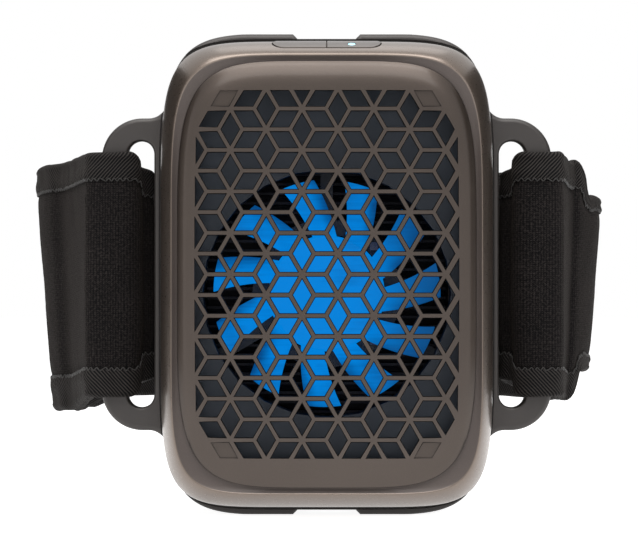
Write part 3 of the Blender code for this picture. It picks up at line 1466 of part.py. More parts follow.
def make_strap(cloth, hem):
    """The padded band and the two sewn hems along its edges."""
    path = strap_path()
    core = STRAP_WIDTH / 2 - HEM_WIDTH
    band = core - 2 * FIT_GAP
    ribbon("strap_band", path, STRAP_THICKNESS, -band, band, cloth)
    ribbon("strap_binding_top", path, HEM_THICKNESS, core, core + HEM_WIDTH, hem)
    ribbon("strap_binding_bottom", path, HEM_THICKNESS, -core - HEM_WIDTH, -core, hem)


def patch_path(centre, spread, grown):
    points = []
    for step in range(PATCH_STEPS + 1):
        angle = centre + spread * (2 * step / PATCH_STEPS - 1)
        points.append(Vector(loop_point(angle, grown)))
    return points


def make_hook_patches(surface):
    """The hook fastener between the folded layers, under the flap and on the tail."""
    flap = patch_path(0.0, FLAP_END / 2, STRAP_PITCH / 2)
    seam = (LOOP_ENTRY - TAIL_END) / 4
    tail = patch_path(math.pi + TAIL_END + seam, seam, -STRAP_PITCH / 2)
    for name, path in (("flap_hook_patch", flap), ("tail_hook_patch", tail)):
        ribbon(name, path, PATCH_THICKNESS, -PATCH_HALF_HEIGHT, PATCH_HALF_HEIGHT, surface)


def set_origin(obj, place):
    """Put an object's origin on its joint's axis, with its shape left where it is."""
    obj.data.transform(Matrix.Translation(-Vector(place)))
    obj.location = place


def make_case(paint):
    plain = frame_finish()
    make_front_housing(paint)
    make_grille_panel(paint)
    make_strap_frame(plain)
    make_rear_housing(plain)


def make_buttons(paint):
    lens_light = light_lens()
    left = make_button("left_button", -1, 0, paint)
    right = make_button("right_button", 0, 1, paint)
    lens = make_indicator_lens(right, lens_light)
    for obj, side in ((left, -1), (right, 1), (lens, 1)):
        set_origin(obj, (side * LENS_OFFSET, button_centre_y(), button_underside() + CASE_Z))
    make_button_board(board_green())
    black = chip_black()
    make_switch("left_switch", -1, black)
    make_switch("right_switch", 1, black)


def make_fan():
    dark = dark_plastic()
    steel = screw_steel()
    make_front_shroud(dark)
    make_fan_frame(dark)
    make_fan_bearing(bare_aluminium())
    make_fan_stator(leg_alloy())
    make_light_ring(board_green())
    make_light_chips(light_lens())
    spinning = [make_fan_rotor(lit_plastic()), make_fan_shaft(steel), make_fan_magnet_ring(black_metal())]
    for obj in spinning:
        set_origin(obj, (0.0, rotor_front(), FAN_Z + CASE_Z))
    make_fan_screws(steel)


def make_thermal_stack():
    pad = grey_silicone()
    ceramic = white_ceramic()
    make_heat_sink(black_metal())
    make_square_sheet("thermal_pad_hot", CERAMIC_HALF_SIZE, HOT_PAD_Y, PAD_THICKNESS, pad)
    make_square_sheet("hot_ceramic", CERAMIC_HALF_SIZE, HOT_CERAMIC_Y, CERAMIC_THICKNESS, ceramic)
    make_thermocouple_legs(leg_alloy())
    make_square_sheet("cold_ceramic", CERAMIC_HALF_SIZE, COLD_CERAMIC_Y, CERAMIC_THICKNESS, ceramic)
    make_square_sheet("thermal_pad_cold", CERAMIC_HALF_SIZE, COLD_PAD_Y, PAD_THICKNESS, pad)
    metal = bare_aluminium()
    make_square_sheet("spreader_block", SPREADER_HALF_SIZE, SPREADER_Y, SPREADER_THICKNESS, metal)
    make_treatment_plate(metal)
    make_plate_gasket(grey_silicone())
    make_thermistor(chip_black())


def make_electronics():
    make_main_board(board_green())
    make_board_chips(chip_black())
    make_charging_port(bare_aluminium())
    make_battery_cradle(dark_plastic())
    rear_back = cradle_back() - CRADLE_WALL - FIT_GAP
    make_battery("battery_rear", rear_back, cell_wrap())
    make_battery("battery_front", rear_back - BATTERY_THICKNESS - FIT_GAP, cell_wrap())


def make_fasteners():
    steel = screw_steel()
    make_housing_screws(steel)
    make_board_screws(steel)


clear_scene()
taupe_paint = case_paint()
make_case(taupe_paint)
make_buttons(taupe_paint)
make_fan()
make_thermal_stack()
make_electronics()
make_fasteners()
make_strap(strap_cloth(), hem_cloth())
make_hook_patches(hook_nylon())
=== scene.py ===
import json
import math
import bmesh
import bpy
from mathutils import Matrix, Vector, noise


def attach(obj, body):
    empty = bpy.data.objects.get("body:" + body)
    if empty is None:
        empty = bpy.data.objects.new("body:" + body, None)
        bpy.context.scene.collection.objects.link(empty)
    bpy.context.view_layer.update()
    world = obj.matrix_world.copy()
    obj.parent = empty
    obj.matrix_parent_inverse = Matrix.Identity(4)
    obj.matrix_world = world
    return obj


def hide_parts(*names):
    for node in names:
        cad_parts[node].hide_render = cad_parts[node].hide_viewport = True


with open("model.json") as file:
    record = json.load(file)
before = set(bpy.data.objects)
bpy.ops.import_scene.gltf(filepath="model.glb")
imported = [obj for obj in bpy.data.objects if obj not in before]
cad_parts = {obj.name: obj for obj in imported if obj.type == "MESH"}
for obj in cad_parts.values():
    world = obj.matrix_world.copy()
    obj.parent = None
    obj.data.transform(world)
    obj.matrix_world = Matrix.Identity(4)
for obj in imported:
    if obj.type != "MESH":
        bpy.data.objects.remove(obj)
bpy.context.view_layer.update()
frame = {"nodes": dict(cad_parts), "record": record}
print("frame loaded:", len(frame["nodes"]), "nodes")

caseZ = 0.0471  # height of the case's centre, where outlines are drawn about
splitY, bezelY, panelY, frameY = -0.032525, -0.049025, -0.051025, -0.032225
fanCentre = Vector((0.0, -0.043425, 0.0434))


# camera, straight on, 0.7 m in front of the wings
cameraFit = {"distance": 0.70, "viewWidth": 0.12505, "x": -0.00149, "z": 0.04726, "sensor": 36.0}


def makeCamera():
    bpy.ops.object.camera_add(location=(cameraFit["x"], frameY - cameraFit["distance"], cameraFit["z"]),
                              rotation=(math.pi / 2, 0, 0))
    camera = bpy.context.object
    camera.name = "photoCamera"
    camera.data.sensor_width = cameraFit["sensor"]
    camera.data.lens = cameraFit["sensor"] * cameraFit["distance"] / cameraFit["viewWidth"]
    camera.data.clip_start = 0.01
    camera.data.clip_end = 20.0
    bpy.context.scene.camera = camera


makeCamera()
print("camera ready")


# shader maths: a socket that adds, multiplies and compares like a number
class Signal:
    def __init__(self, tree, socket=None):
        self.tree = tree
        self.socket = socket

    def add(self, kind, settings=None, inputs=None, output=0):
        made = self.tree.nodes.new(kind)
        for key, value in (settings or {}).items():
            setattr(made, key, value)
        for key, value in (inputs or {}).items():
            if isinstance(value, Signal):
                self.tree.links.new(value.socket, made.inputs[key])
            else:
                made.inputs[key].default_value = value
        return Signal(self.tree, made.outputs[output])

    def math(self, operation, *values):
        return self.add("ShaderNodeMath", {"operation": operation}, dict(enumerate(values)))

    def __add__(self, other):
        return self.math("ADD", self, other)

    def __radd__(self, other):
        return self.math("ADD", other, self)

    def __sub__(self, other):
        return self.math("SUBTRACT", self, other)

    def __rsub__(self, other):
        return self.math("SUBTRACT", other, self)

    def __mul__(self, other):
        return self.math("MULTIPLY", self, other)

    def __rmul__(self, other):
        return self.math("MULTIPLY", other, self)

    def __truediv__(self, other):
        return self.math("DIVIDE", self, other)

    def __pow__(self, other):
        return self.math("POWER", self, other)

    def size(self):
        return self.math("ABSOLUTE", self)

    def part(self):  # what is over a whole number
        return self.math("FRACT", self)

    def hump(self):  # one smooth bump from each whole number to the next
        return self.math("SINE", self.part() * math.pi)

    def clamp(self):
        return self.add("ShaderNodeClamp", None, {"Value": self})

    def rise(self, low, high):  # 0 below low, 1 above high, smooth between
        return self.add("ShaderNodeMapRange", {"interpolation_type": 'SMOOTHSTEP'},
                        {"Value": self, "From Min": low, "From Max": high})

    def around(self, level, spread):  # a level that a texture moves up and down
        return (self - 0.5) * spread + level

    def noise(self, scale, detail=3.0, roughness=0.5):
        return self.add("ShaderNodeTexNoise", None,
                        {"Vector": self, "Scale": scale, "Detail": detail, "Roughness": roughness})

    def cells(self, scale, feature='F1'):
        return self.add("ShaderNodeTexVoronoi", {"feature": feature}, {"Vector": self, "Scale": scale})

    def blend(self, first, second):  # a colour between two, by this signal
        ends = [value if isinstance(value, Signal) else (*value, 1.0) for value in (first, second)]
        return self.add("ShaderNodeMix", {"data_type": 'RGBA'}, {0: self, 6: ends[0], 7: ends[1]}, 2)

    def scaled(self, factors):
        return self.add("ShaderNodeVectorMath", {"operation": 'MULTIPLY'}, {0: self, 1: factors})

    def split(self):
        node = self.add("ShaderNodeSeparateXYZ", None, {"Vector": self}).socket.node
        return [Signal(self.tree, output) for output in node.outputs]


def shade(red, green, blue):  # display colour, 0 to 255
    return tuple(((value / 255.0) / 12.92 if value < 10 else ((value / 255.0 + 0.055) / 1.055) ** 2.4)
                 for value in (red, green, blue))


def newFinish(name, fixed):  # a material, and the place on the object that its pattern reads
    made = bpy.data.materials.new(name)
    made.use_nodes = True
    for key, value in fixed.items():
        made.node_tree.nodes["Principled BSDF"].inputs[key].default_value = value
    return made, Signal(made.node_tree).add("ShaderNodeTexCoord", None, None, "Object")


def wire(made, height=None, distance=0.0, strength=0.0, **sockets):
    tree = made.node_tree
    shader = tree.nodes["Principled BSDF"]
    for key, value in sockets.items():
        tree.links.new(value.socket, shader.inputs[key.replace("_", " ")])
    if height is not None:
        bump = height.add("ShaderNodeBump", None,
                          {"Height": height, "Distance": distance, "Strength": strength})
        tree.links.new(bump.socket, shader.inputs["Normal"])
    return made


# painted case and panel: one paint, lighter on the case as painted light and darker on the panel as painted
# shade
# painted light: the case's colours are a lighter copy of the panel's paint
taupe = {"light": shade(118, 106, 97), "dark": shade(98, 87, 79), "metallic": 0.82, "coatRough": 0.16,
         "flakeScale": 9000, "flakeShare": 0.5, "cloudScale": 60, "cloudShare": 0.55, "base": 0.05,
         "grainScale": 2600, "grainRough": 0.16, "caseGrain": 0.000012, "panelGrain": 0.000017, "bump": 0.6,
         "bandShadeLight": shade(90, 81, 77), "bandShadeDark": shade(70, 62, 59), "bandWidth": 0.02985,
         "bandHeight": 0.0421, "bandPower": 5.6, "bandLower": 1.12, "bandFade": (0.955, 0.985),
         "bandDeep": 0.006, "bandDull": 0.47, "bandUncoat": 0.8, "bandRough": 0.22,
         "panelLight": shade(75, 66, 60), "panelDark": shade(59, 51, 46), "paintedWallShade": shade(9, 8, 8),
         "wallFacing": (0.66, 0.80), "wallRough": 0.3, "windowWidth": 0.0262, "windowHeight": 0.0364,
         "windowFade": 0.0003}


def flakes(place):  # fine flakes under a slow cloud
    flake = place.cells(taupe["flakeScale"])
    cloud = place.noise(taupe["cloudScale"], 2.0)
    return (flake * taupe["flakeShare"] + cloud * taupe["cloudShare"] - taupe["base"]).clamp()


def casePaint(name, roughness, coat, dark, light):  # metallic paint; the band inside the bevel is matt and painted darker as painted shade
    made, place = newFinish(name, {"Coat Roughness": taupe["coatRough"]})
    x, y, z = place.split()
    grain = place.noise(taupe["grainScale"])
    power = (caseZ - z).rise(0.0, 0.0001) * taupe["bandLower"] + taupe["bandPower"]
    reach = (x / taupe["bandWidth"]).size() ** power + ((z - caseZ) / taupe["bandHeight"]).size() ** power
    # painted shade: the hollow band inside the bevel gets darker colours as well as a matt finish
    band = (1 - reach.rise(*taupe["bandFade"])) * (bezelY + taupe["bandDeep"] - y).rise(0.0, 0.0005)
    mix = flakes(place)
    colour = band.blend(mix.blend(dark, light), mix.blend(taupe["bandShadeDark"], taupe["bandShadeLight"]))
    return wire(made, grain, taupe["caseGrain"], taupe["bump"], Base_Color=colour,
                Metallic=taupe["metallic"] - band * taupe["bandDull"],
                Coat_Weight=coat - band * coat * taupe["bandUncoat"],
                Roughness=grain.around(roughness, taupe["grainRough"]) + band * taupe["bandRough"])


def panelPaint(name, roughness, coat):  # the same paint, darker as painted shade, with painted shade near black and no coat on the walls of the openings
    made, place = newFinish(name, {"Metallic": taupe["metallic"], "Coat Roughness": taupe["coatRough"]})
    x, _, z = place.split()
    facing = place.add("ShaderNodeNewGeometry", None, None, "True Normal").split()[1].size()
    fade, halfWidth, halfHeight = taupe["windowFade"], taupe["windowWidth"], taupe["windowHeight"]
    window = ((1 - x.size().rise(halfWidth, halfWidth + fade))
              * (1 - (z - caseZ).size().rise(halfHeight, halfHeight + fade)))
    # painted shade: the sideways walls of the openings are painted near black
    wall = window * (1 - facing.rise(*taupe["wallFacing"]))
    grain = place.noise(taupe["grainScale"])
    # painted shade: the panel's colours are a darker copy of the case's paint
    colour = flakes(place).blend(taupe["panelDark"], taupe["panelLight"])
    return wire(made, grain, taupe["panelGrain"], taupe["bump"],
                Base_Color=wall.blend(colour, taupe["paintedWallShade"]), Coat_Weight=coat - wall * coat,
                Roughness=grain.around(roughness, taupe["grainRough"]) + wall * taupe["wallRough"])


# plastics, metals and boards
satin = {"base": shade(51, 48, 47), "worn": shade(62, 58, 56), "pitScale": 2.2, "cloudScale": 45,
         "cloudShare": 0.7, "grainShare": 0.5, "least": 0.2, "grainHigh": 0.6, "pitHigh": 0.4,
         "deep": 0.00003, "bump": 0.55, "spread": 0.2}
metal = {"beads": 5200, "beadCloud": 38, "beadDeep": 0.00002, "beadBump": 0.5, "beadSpread": 0.12,
         "lines": (60, 60, 5200), "lineCloud": 90, "lineDeep": 0.00001, "lineBump": 0.4, "lineSpread": 0.2,
         "lineShare": 0.6, "fade": (0.3, 0.7)}
board = {"mask": shade(18, 58, 38), "track": shade(34, 84, 56), "pad": shade(190, 186, 172),
         "stretch": (1.0, 0.2, 1.0), "trackScale": 420, "trackEdge": (0.03, 0.07), "padScale": 380,
         "padEdge": (0.10, 0.13), "deep": 0.00003, "bump": 0.6, "rough": 0.55, "padSmooth": 0.2}
film = {"crease": (220, 220, 900), "fade": (0.35, 0.7), "deep": 0.00006, "bump": 0.5, "rough": 0.4,
        "spread": 0.3}


def satinPlastic(name, base, worn, roughness, metallic=0.25, scale=1500):  # moulded, spark-eroded texture
    made, place = newFinish(name, {"Metallic": metallic})
    grain = place.noise(scale, 4.0, 0.6)
    pits = place.cells(scale * satin["pitScale"])
    cloud = place.noise(satin["cloudScale"])
    mix = (cloud * satin["cloudShare"] + grain * satin["grainShare"] - satin["least"]).clamp()
    return wire(made, grain * satin["grainHigh"] + pits * satin["pitHigh"], satin["deep"], satin["bump"],
                Base_Color=mix.blend(base, worn), Roughness=grain.around(roughness, satin["spread"]))


def anodised(name, base, edge, roughness):  # bead-blasted metal
    made, place = newFinish(name, {"Metallic": 1.0})
    beads = place.cells(metal["beads"])
    cloud = place.noise(metal["beadCloud"], 4.0)
    return wire(made, beads, metal["beadDeep"], metal["beadBump"],
                Base_Color=cloud.rise(*metal["fade"]).blend(base, edge),
                Roughness=cloud.around(roughness, metal["beadSpread"]))


def machined(name, base, bright, roughness):  # fine lines from the tool
    made, place = newFinish(name, {"Metallic": 1.0})
    lines = place.scaled(metal["lines"]).noise(1.0)
    cloud = place.noise(metal["lineCloud"], 2.0)
    mix = (lines * metal["lineShare"] + cloud * (1 - metal["lineShare"])).rise(*metal["fade"])
    return wire(made, lines, metal["lineDeep"], metal["lineBump"], Base_Color=mix.blend(base, bright),
                Roughness=lines.around(roughness, metal["lineSpread"]))


def circuitBoard(name):  # solder mask over tracks, with pads
    made, place = newFinish(name, {"Metallic": 0.0, "Coat Weight": 0.3})
    gaps = place.scaled(board["stretch"]).cells(board["trackScale"], 'DISTANCE_TO_EDGE')
    track = 1 - gaps.rise(*board["trackEdge"])
    pads = 1 - place.cells(board["padScale"]).rise(*board["padEdge"])
    green = track.blend(board["mask"], board["track"])
    return wire(made, track + pads, board["deep"], board["bump"], Base_Color=pads.blend(green, board["pad"]),
                Roughness=board["rough"] - pads * board["padSmooth"])


def wrapFilm(name, dark, light):  # shrink film over the cells, with fine creases
    made, place = newFinish(name, {"Coat Weight": 0.4})
    crease = place.scaled(film["crease"]).noise(1.0, 4.0)
    return wire(made, crease, film["deep"], film["bump"],
                Base_Color=crease.rise(*film["fade"]).blend(dark, light),
                Roughness=crease.around(film["rough"], film["spread"]))


# scale, detail, coarseness, colour's fade, bump's depth and strength, roughness, fixed values
grains = {"fired": (2400, 5.0, 0.70, 0.35, 0.65, 0.00002, 0.5, 0.72, {"Specular IOR Level": 0.3}),
          "rubber": (1800, 4.0, 0.65, 0.30, 0.75, 0.00003, 0.5, 0.72, {"Specular IOR Level": 0.4}),
          "thread": (6500, 3.0, 0.50, 0.30, 0.70, 0.00005, 0.7, 0.70,
                     {"Sheen Weight": 0.3, "Specular IOR Level": 0.4})}


def grained(name, kind, dark, light):  # unglazed ceramic, rubber or thread, by its one fine grain
    scale, detail, coarse, low, high, deep, bump, roughness, fixed = grains[kind]
    made, place = newFinish(name, fixed)
    grain = place.noise(scale, detail, coarse)
    return wire(made, grain, deep, bump, Base_Color=grain.rise(low, high).blend(dark, light),
                Roughness=grain.around(roughness, 0.2))


# blades and lights
glow = {"bright": shade(2, 142, 238), "deep": shade(4, 78, 142), "dim": shade(14, 76, 132), "strength": 0.80,
        "body": shade(0, 24, 54), "bodyLight": shade(0, 38, 80), "root": 0.0106, "span": 0.01135,
        "start": math.radians(-7), "sweep": math.radians(14), "blades": 11, "cloud": 150,
        "streaks": (60, 60, 2600), "sideShadeEdge": (0.18, 0.52), "sideShadeOut": (0.05, 0.4), "sideShadeDark": 0.75,
        "outDark": 0.24, "full": 0.98, "cloudShare": 0.95, "streakShare": 0.55, "shadeFrom": (0.004, 0.018),
        "shadeOut": 0.50, "shadeAll": 0.40}


def litPlastic(name):  # translucent blade plastic; its glow is painted light standing in for the ring behind it, with painted shade on one side of each blade, towards the tips and on the right
    made, place = newFinish(name, {"Roughness": 0.5, "Specular IOR Level": 0.12,
                                   "Emission Strength": glow["strength"]})
    x, _, z = place.split()
    across, up = x - fanCentre.x, z - fanCentre.z
    out = ((place.math("SQRT", across * across + up * up) - glow["root"]) / glow["span"]).clamp()
    swept = place.math("ARCTAN2", up, across) - glow["start"] - out * glow["sweep"]
    edge = (swept / (math.tau / glow["blades"]) + 0.5).part()
    cloud = place.noise(glow["cloud"], 2.0)
    streaks = place.scaled(glow["streaks"]).noise(1.0, 2.0)
    # painted shade: one side of each blade is dimmer, away from the hub
    sideShade = (1 - edge.rise(*glow["sideShadeEdge"])) * out.rise(*glow["sideShadeOut"])
    lit = (glow["full"] - sideShade * glow["sideShadeDark"] - out * glow["outDark"]
           + (cloud - 0.5) * glow["cloudShare"] + (streaks - 0.5) * glow["streakShare"]).clamp()
    # painted shade: blades to the right of the hub are dimmer
    shaded = across.rise(*glow["shadeFrom"]) * (out * glow["shadeOut"] + glow["shadeAll"])
    return wire(made, cloud, 0.00002, 0.3, Base_Color=cloud.blend(glow["body"], glow["bodyLight"]),
                Emission_Color=shaded.blend(lit.blend(glow["deep"], glow["bright"]), glow["dim"]))


def lensLight(name, edge, middle, strength):
    made, place = newFinish(name, {"Roughness": 0.2, "Emission Strength": strength})
    cloud = place.noise(900, 2.0)
    colour = cloud.blend(edge, middle)
    return wire(made, cloud, 0.00001, 0.2, Base_Color=colour, Emission_Color=colour)


# cloths, which follow their own attribute: along the strap, up it, and which face
knit = {"wale": 0.00046, "course": 0.00040, "lean": 1.1, "dark": shade(5, 5, 6), "light": shade(60, 55, 54),
        "sheen": 0.03, "sheenRough": 0.5, "tint": (0.80, 0.66, 0.56), "specular": 0.10, "fuzz": 5200,
        "worn": 170, "grain": 2300, "grainGain": 3.0, "height": (0.7, 0.6, 0.0, 0.5),
        "mix": (0.40, 0.50, 0.35, 0.5), "least": 0.42, "deep": 0.00010, "bump": 0.8, "rough": 0.88}
twill = {"pitch": 0.00062, "slant": 0.80, "faceSign": 20.0, "threadUp": 0.00034, "threadAlong": 0.00090,
         "dark": shade(3, 3, 4), "light": shade(72, 68, 66), "sheen": 0.03, "sheenRough": 0.4,
         "tint": (0.82, 0.70, 0.60), "specular": 0.12, "wobble": 900, "wobbleGain": 0.25, "fuzz": 4600,
         "worn": 260, "height": (0.8, 0.25, 0.25), "mix": (0.85, 0.14, 0.40, 0.45), "least": 0.68,
         "deep": 0.00014, "bump": 0.9, "rough": 0.8}
hooks = {"row": 0.0009, "hook": 0.0012, "dark": shade(10, 10, 11), "light": shade(44, 43, 44), "fuzz": 4200,
         "fuzzShare": 0.3, "bristleShare": 0.7, "deep": 0.00035, "rough": 0.7}


def newCloth(name, fixed):
    made, place = newFinish(name, fixed)
    return made, place.add("ShaderNodeAttribute", {"attribute_name": "cloth"}, None, "Vector")


def softLight(cloth):
    return {"Sheen Weight": cloth["sheen"], "Sheen Roughness": cloth["sheenRough"],
            "Sheen Tint": (*cloth["tint"], 1.0), "Specular IOR Level": cloth["specular"]}


def weighed(signals, shares):  # textures added up by their shares
    return sum(signal * share for signal, share in zip(signals, shares) if share)


def knitCloth(name):  # brushed knit: rows of small v stitches, with loose fuzz
    made, cloth = newCloth(name, softLight(knit))
    along, up, _ = cloth.split()
    wales = along / knit["wale"]
    lean = (wales.part() - 0.5).size()
    loop = wales.hump() * (up / knit["course"] + lean * knit["lean"]).hump()
    fuzz = cloth.noise(knit["fuzz"], 4.0, 0.7)
    worn = cloth.noise(knit["worn"], 4.0, 0.6)
    grain = (cloth.noise(knit["grain"], 2.0, 0.6) - 0.5) * knit["grainGain"]
    textures = (loop, fuzz, worn, grain)
    mix = (weighed(textures, knit["mix"]) - knit["least"]).clamp()
    return wire(made, weighed(textures, knit["height"]), knit["deep"], knit["bump"],
                Base_Color=mix.blend(knit["dark"], knit["light"]), Roughness=fuzz.around(knit["rough"], 0.2))


def twillCloth(name):  # binding tape: raised diagonal cords, with painted highlights on their crests
    made, cloth = newCloth(name, softLight(twill))
    along, up, turned = cloth.split()
    wobble = cloth.noise(twill["wobble"], 2.0) * twill["wobbleGain"]
    lines = (along * turned * twill["faceSign"] + up.size() * twill["slant"]) / twill["pitch"] + wobble
    cord = lines.hump()
    thread = (up / twill["threadUp"] - along / twill["threadAlong"]).hump()
    fuzz = cloth.noise(twill["fuzz"], 4.0, 0.7)
    worn = cloth.noise(twill["worn"], 3.0, 0.6)
    # painted highlight: the crests of the cords are painted lighter
    mix = (weighed((cord * cord * cord, thread, fuzz, worn), twill["mix"]) - twill["least"]).clamp()
    return wire(made, weighed((cord, thread, fuzz), twill["height"]), twill["deep"], twill["bump"],
                Base_Color=mix.blend(twill["dark"], twill["light"]),
                Roughness=fuzz.around(twill["rough"], 0.2))


def hookPile(name):  # hook fastener: rows of short bristles
    made, cloth = newCloth(name, {"Specular IOR Level": 0.35})
    along, up, _ = cloth.split()
    bristles = (along / hooks["row"]).hump() * (up / hooks["hook"]).hump()
    fuzz = cloth.noise(hooks["fuzz"])
    loose = fuzz * hooks["fuzzShare"]
    mix = (bristles * hooks["bristleShare"] + loose).clamp()
    return wire(made, bristles + loose, hooks["deep"], 1.0,
                Base_Color=mix.blend(hooks["dark"], hooks["light"]), Roughness=fuzz.around(hooks["rough"], 0.2))


finishes = {
    "case": casePaint("casePaint", 0.30, 0.55, taupe["dark"], taupe["light"]),
    "panel": panelPaint("panelPaint", 0.36, 0.35),
    "button": casePaint("buttonPaint", 0.34, 0.40, shade(80, 73, 69), shade(96, 88, 83)),
    "frame": satinPlastic("frameSatin", satin["base"], satin["worn"], 0.42),
    "rear": satinPlastic("rearSatin", shade(72, 68, 64), shade(86, 81, 76), 0.48, 0.15),
    "shroud": satinPlastic("shroudPlastic", shade(46, 54, 66), shade(64, 73, 86), 0.5, 0.0, 1100),
    "fanPlastic": satinPlastic("fanPlastic", shade(14, 15, 18), shade(24, 26, 30), 0.5, 0.0, 1400),
    "chip": satinPlastic("chipPlastic", shade(20, 20, 22), shade(34, 34, 36), 0.45, 0.0, 2600),
    "magnet": satinPlastic("magnetFerrite", shade(36, 35, 35), shade(54, 52, 52), 0.6, 0.3, 2400),
    "sink": anodised("sinkBlack", shade(24, 24, 26), shade(38, 38, 41), 0.42),
    "plate": anodised("plateAnodised", shade(128, 129, 132), shade(146, 147, 150), 0.38),
    "aluminium": machined("machinedAluminium", shade(176, 178, 182), shade(206, 208, 210), 0.32),
    "steel": machined("screwSteel", shade(138, 138, 142), shade(178, 178, 180), 0.30),
    "port": machined("portSteel", shade(160, 160, 164), shade(196, 196, 198), 0.26),
    "brass": machined("bearingBrass", shade(150, 122, 70), shade(186, 158, 98), 0.4),
    "alloy": machined("legAlloy", shade(108, 110, 116), shade(140, 142, 146), 0.42),
    "board": circuitBoard("boardGreen"),
    "ceramic": grained("whiteCeramic", "fired", shade(216, 212, 203), shade(236, 232, 224)),
    "cell": wrapFilm("cellFilm", shade(48, 80, 140), shade(72, 108, 170)),
    "glow": litPlastic("litBlade"),
    "lens": lensLight("lensLight", shade(96, 190, 214), shade(206, 240, 248), 0.95),
    "chipLight": lensLight("ringLight", shade(0, 22, 46), shade(0, 36, 70), 0.3),
    "silicone": grained("greySilicone", "rubber", shade(64, 65, 68), shade(84, 85, 88)),
    "knit": knitCloth("strapKnit"),
    "twill": twillCloth("hemTwill"),
    "hook": hookPile("hookNylon"),
    "thread": grained("hemThread", "thread", shade(14, 13, 13), shade(46, 43, 41)),
}
print("finishes ready:", len(finishes))


# modelling helpers
def rest():
    if bpy.context.object and bpy.context.object.mode != 'OBJECT':
        bpy.ops.object.mode_set(mode='OBJECT')
    bpy.ops.object.select_all(action='DESELECT')


def pick(obj):
    rest()
    obj.select_set(True)
    bpy.context.view_layer.objects.active = obj


def openMesh(obj, select='DESELECT'):
    pick(obj)
    bpy.ops.object.mode_set(mode='EDIT')
    bpy.ops.mesh.select_mode(type='VERT')
    bpy.ops.mesh.select_all(action=select)


def closeMesh():
    bpy.ops.object.mode_set(mode='OBJECT')


def modify(obj, kind, **settings):
    pick(obj)
    modifier = obj.modifiers.new(kind.lower(), kind)
    for key, value in settings.items():
        setattr(modifier, key, value)
    bpy.ops.object.modifier_apply(modifier=modifier.name)


def turnOut(obj):
    openMesh(obj, 'SELECT')
    bpy.ops.mesh.normals_make_consistent(inside=False)
    closeMesh()


def smooth(obj, angle=30.0, weighted=False):
    pick(obj)
    bpy.ops.object.shade_smooth_by_angle(angle=math.radians(angle))
    if weighted:
        modify(obj, 'WEIGHTED_NORMAL', keep_sharp=True, weight=80)


def loftPiece(name, rings, closed=False):  # a ring pulled through the others, then capped or bridged
    rest()
    bpy.ops.mesh.primitive_circle_add(vertices=len(rings[0]), radius=0.01, fill_type='NOTHING')
    obj = bpy.context.object
    obj.name = name
    obj.data.name = name
    obj.data.transform(obj.matrix_world)
    obj.matrix_world = Matrix.Identity(4)
    for vertex, point in zip(obj.data.vertices, rings[0]):
        vertex.co = point
    count = len(rings[0])
    openMesh(obj, 'SELECT')
    order = {index: index for index in range(count)}
    for points in rings[1:]:
        bpy.ops.mesh.extrude_edges_move()
        shape = bmesh.from_edit_mesh(obj.data)
        shape.verts.index_update()
        fresh = {}
        for vertex in shape.verts:
            if not vertex.select:
                continue
            for edge in vertex.link_edges:
                other = edge.other_vert(vertex)
                if not other.select and other.index in order:
                    fresh[vertex.index] = order[other.index]
                    vertex.co = points[order[other.index]]
        order = fresh
        bmesh.update_edit_mesh(obj.data)
    shape = bmesh.from_edit_mesh(obj.data)
    if closed:
        for vertex in shape.verts:
            vertex.select = vertex.index < count or vertex.index in order
        shape.select_flush(True)
        for edge in shape.edges:
            edge.select = all(vertex.select for vertex in edge.verts)
        bpy.ops.mesh.bridge_edge_loops()
    else:
        bpy.ops.mesh.edge_face_add()
        bpy.ops.mesh.select_all(action='DESELECT')
        shape = bmesh.from_edit_mesh(obj.data)
        for vertex in shape.verts:
            vertex.select = vertex.index < count
        shape.select_flush(True)
        bpy.ops.mesh.edge_face_add()
    closeMesh()
    turnOut(obj)
    return obj


def joinAll(objs):
    rest()
    for obj in objs:
        obj.select_set(True)
    bpy.context.view_layer.objects.active = objs[0]
    bpy.ops.object.join()
    return objs[0]


def work(target, tool, operation):
    modify(target, 'BOOLEAN', operation=operation, object=tool, solver='EXACT')
    bpy.data.objects.remove(tool, do_unlink=True)


def superOutline(halfWidth, halfHeight, exponent, count=176, lower=1.0):  # lower squares the bottom corners
    points = []
    for step in range(count):
        across, up = math.cos(math.tau * step / count), math.sin(math.tau * step / count)
        power = 2 / (exponent * (lower if up < 0 else 1.0))
        points.append((halfWidth * math.copysign(abs(across) ** power, across),
                       halfHeight * math.copysign(abs(up) ** power, up)))
    return points


def upright(outline, depth):
    return [(x, depth, z + caseZ) for x, z in outline]


def arcPoints(centre, radius, start, end, steps):
    angles = [start + (end - start) * step / steps for step in range(steps + 1)]
    return [(centre[0] + radius * math.cos(angle), centre[1] + radius * math.sin(angle)) for angle in angles]


def circle(centre, radius, sides=32):
    return arcPoints(centre, radius, 0, math.tau, sides)[:-1]


def depthTool(name, outline, front, back):  # an upright outline, pulled along the depth
    return loftPiece(name, [upright(outline, depth) for depth in (front, back)])


def heightTool(name, outline, low, high):  # a flat outline, pulled up between two heights over the centre
    return loftPiece(name, [[(x, y, height + caseZ) for x, y in outline] for height in (low, high)])


def pegs(places, radius, front, back):  # round posts along the depth, joined
    return joinAll([depthTool("peg", circle(place, radius), front, back) for place in places])


def blockTool(low, high):
    rest()
    bpy.ops.mesh.primitive_cube_add(size=1.0)
    obj = bpy.context.object
    obj.data.transform(Matrix.Translation((Vector(low) + Vector(high)) / 2)
                       @ Matrix.Diagonal((*(Vector(high) - Vector(low)), 1.0)))
    return obj


def twin(obj):  # a copy with its own mesh
    copy = obj.copy()
    copy.data = obj.data.copy()
    bpy.context.collection.objects.link(copy)
    return copy


def fitPiece(obj, surface, body, nodes):
    obj.data.materials.clear()
    obj.data.materials.append(surface)
    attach(obj, body)
    if nodes:
        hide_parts(*nodes)
    return obj


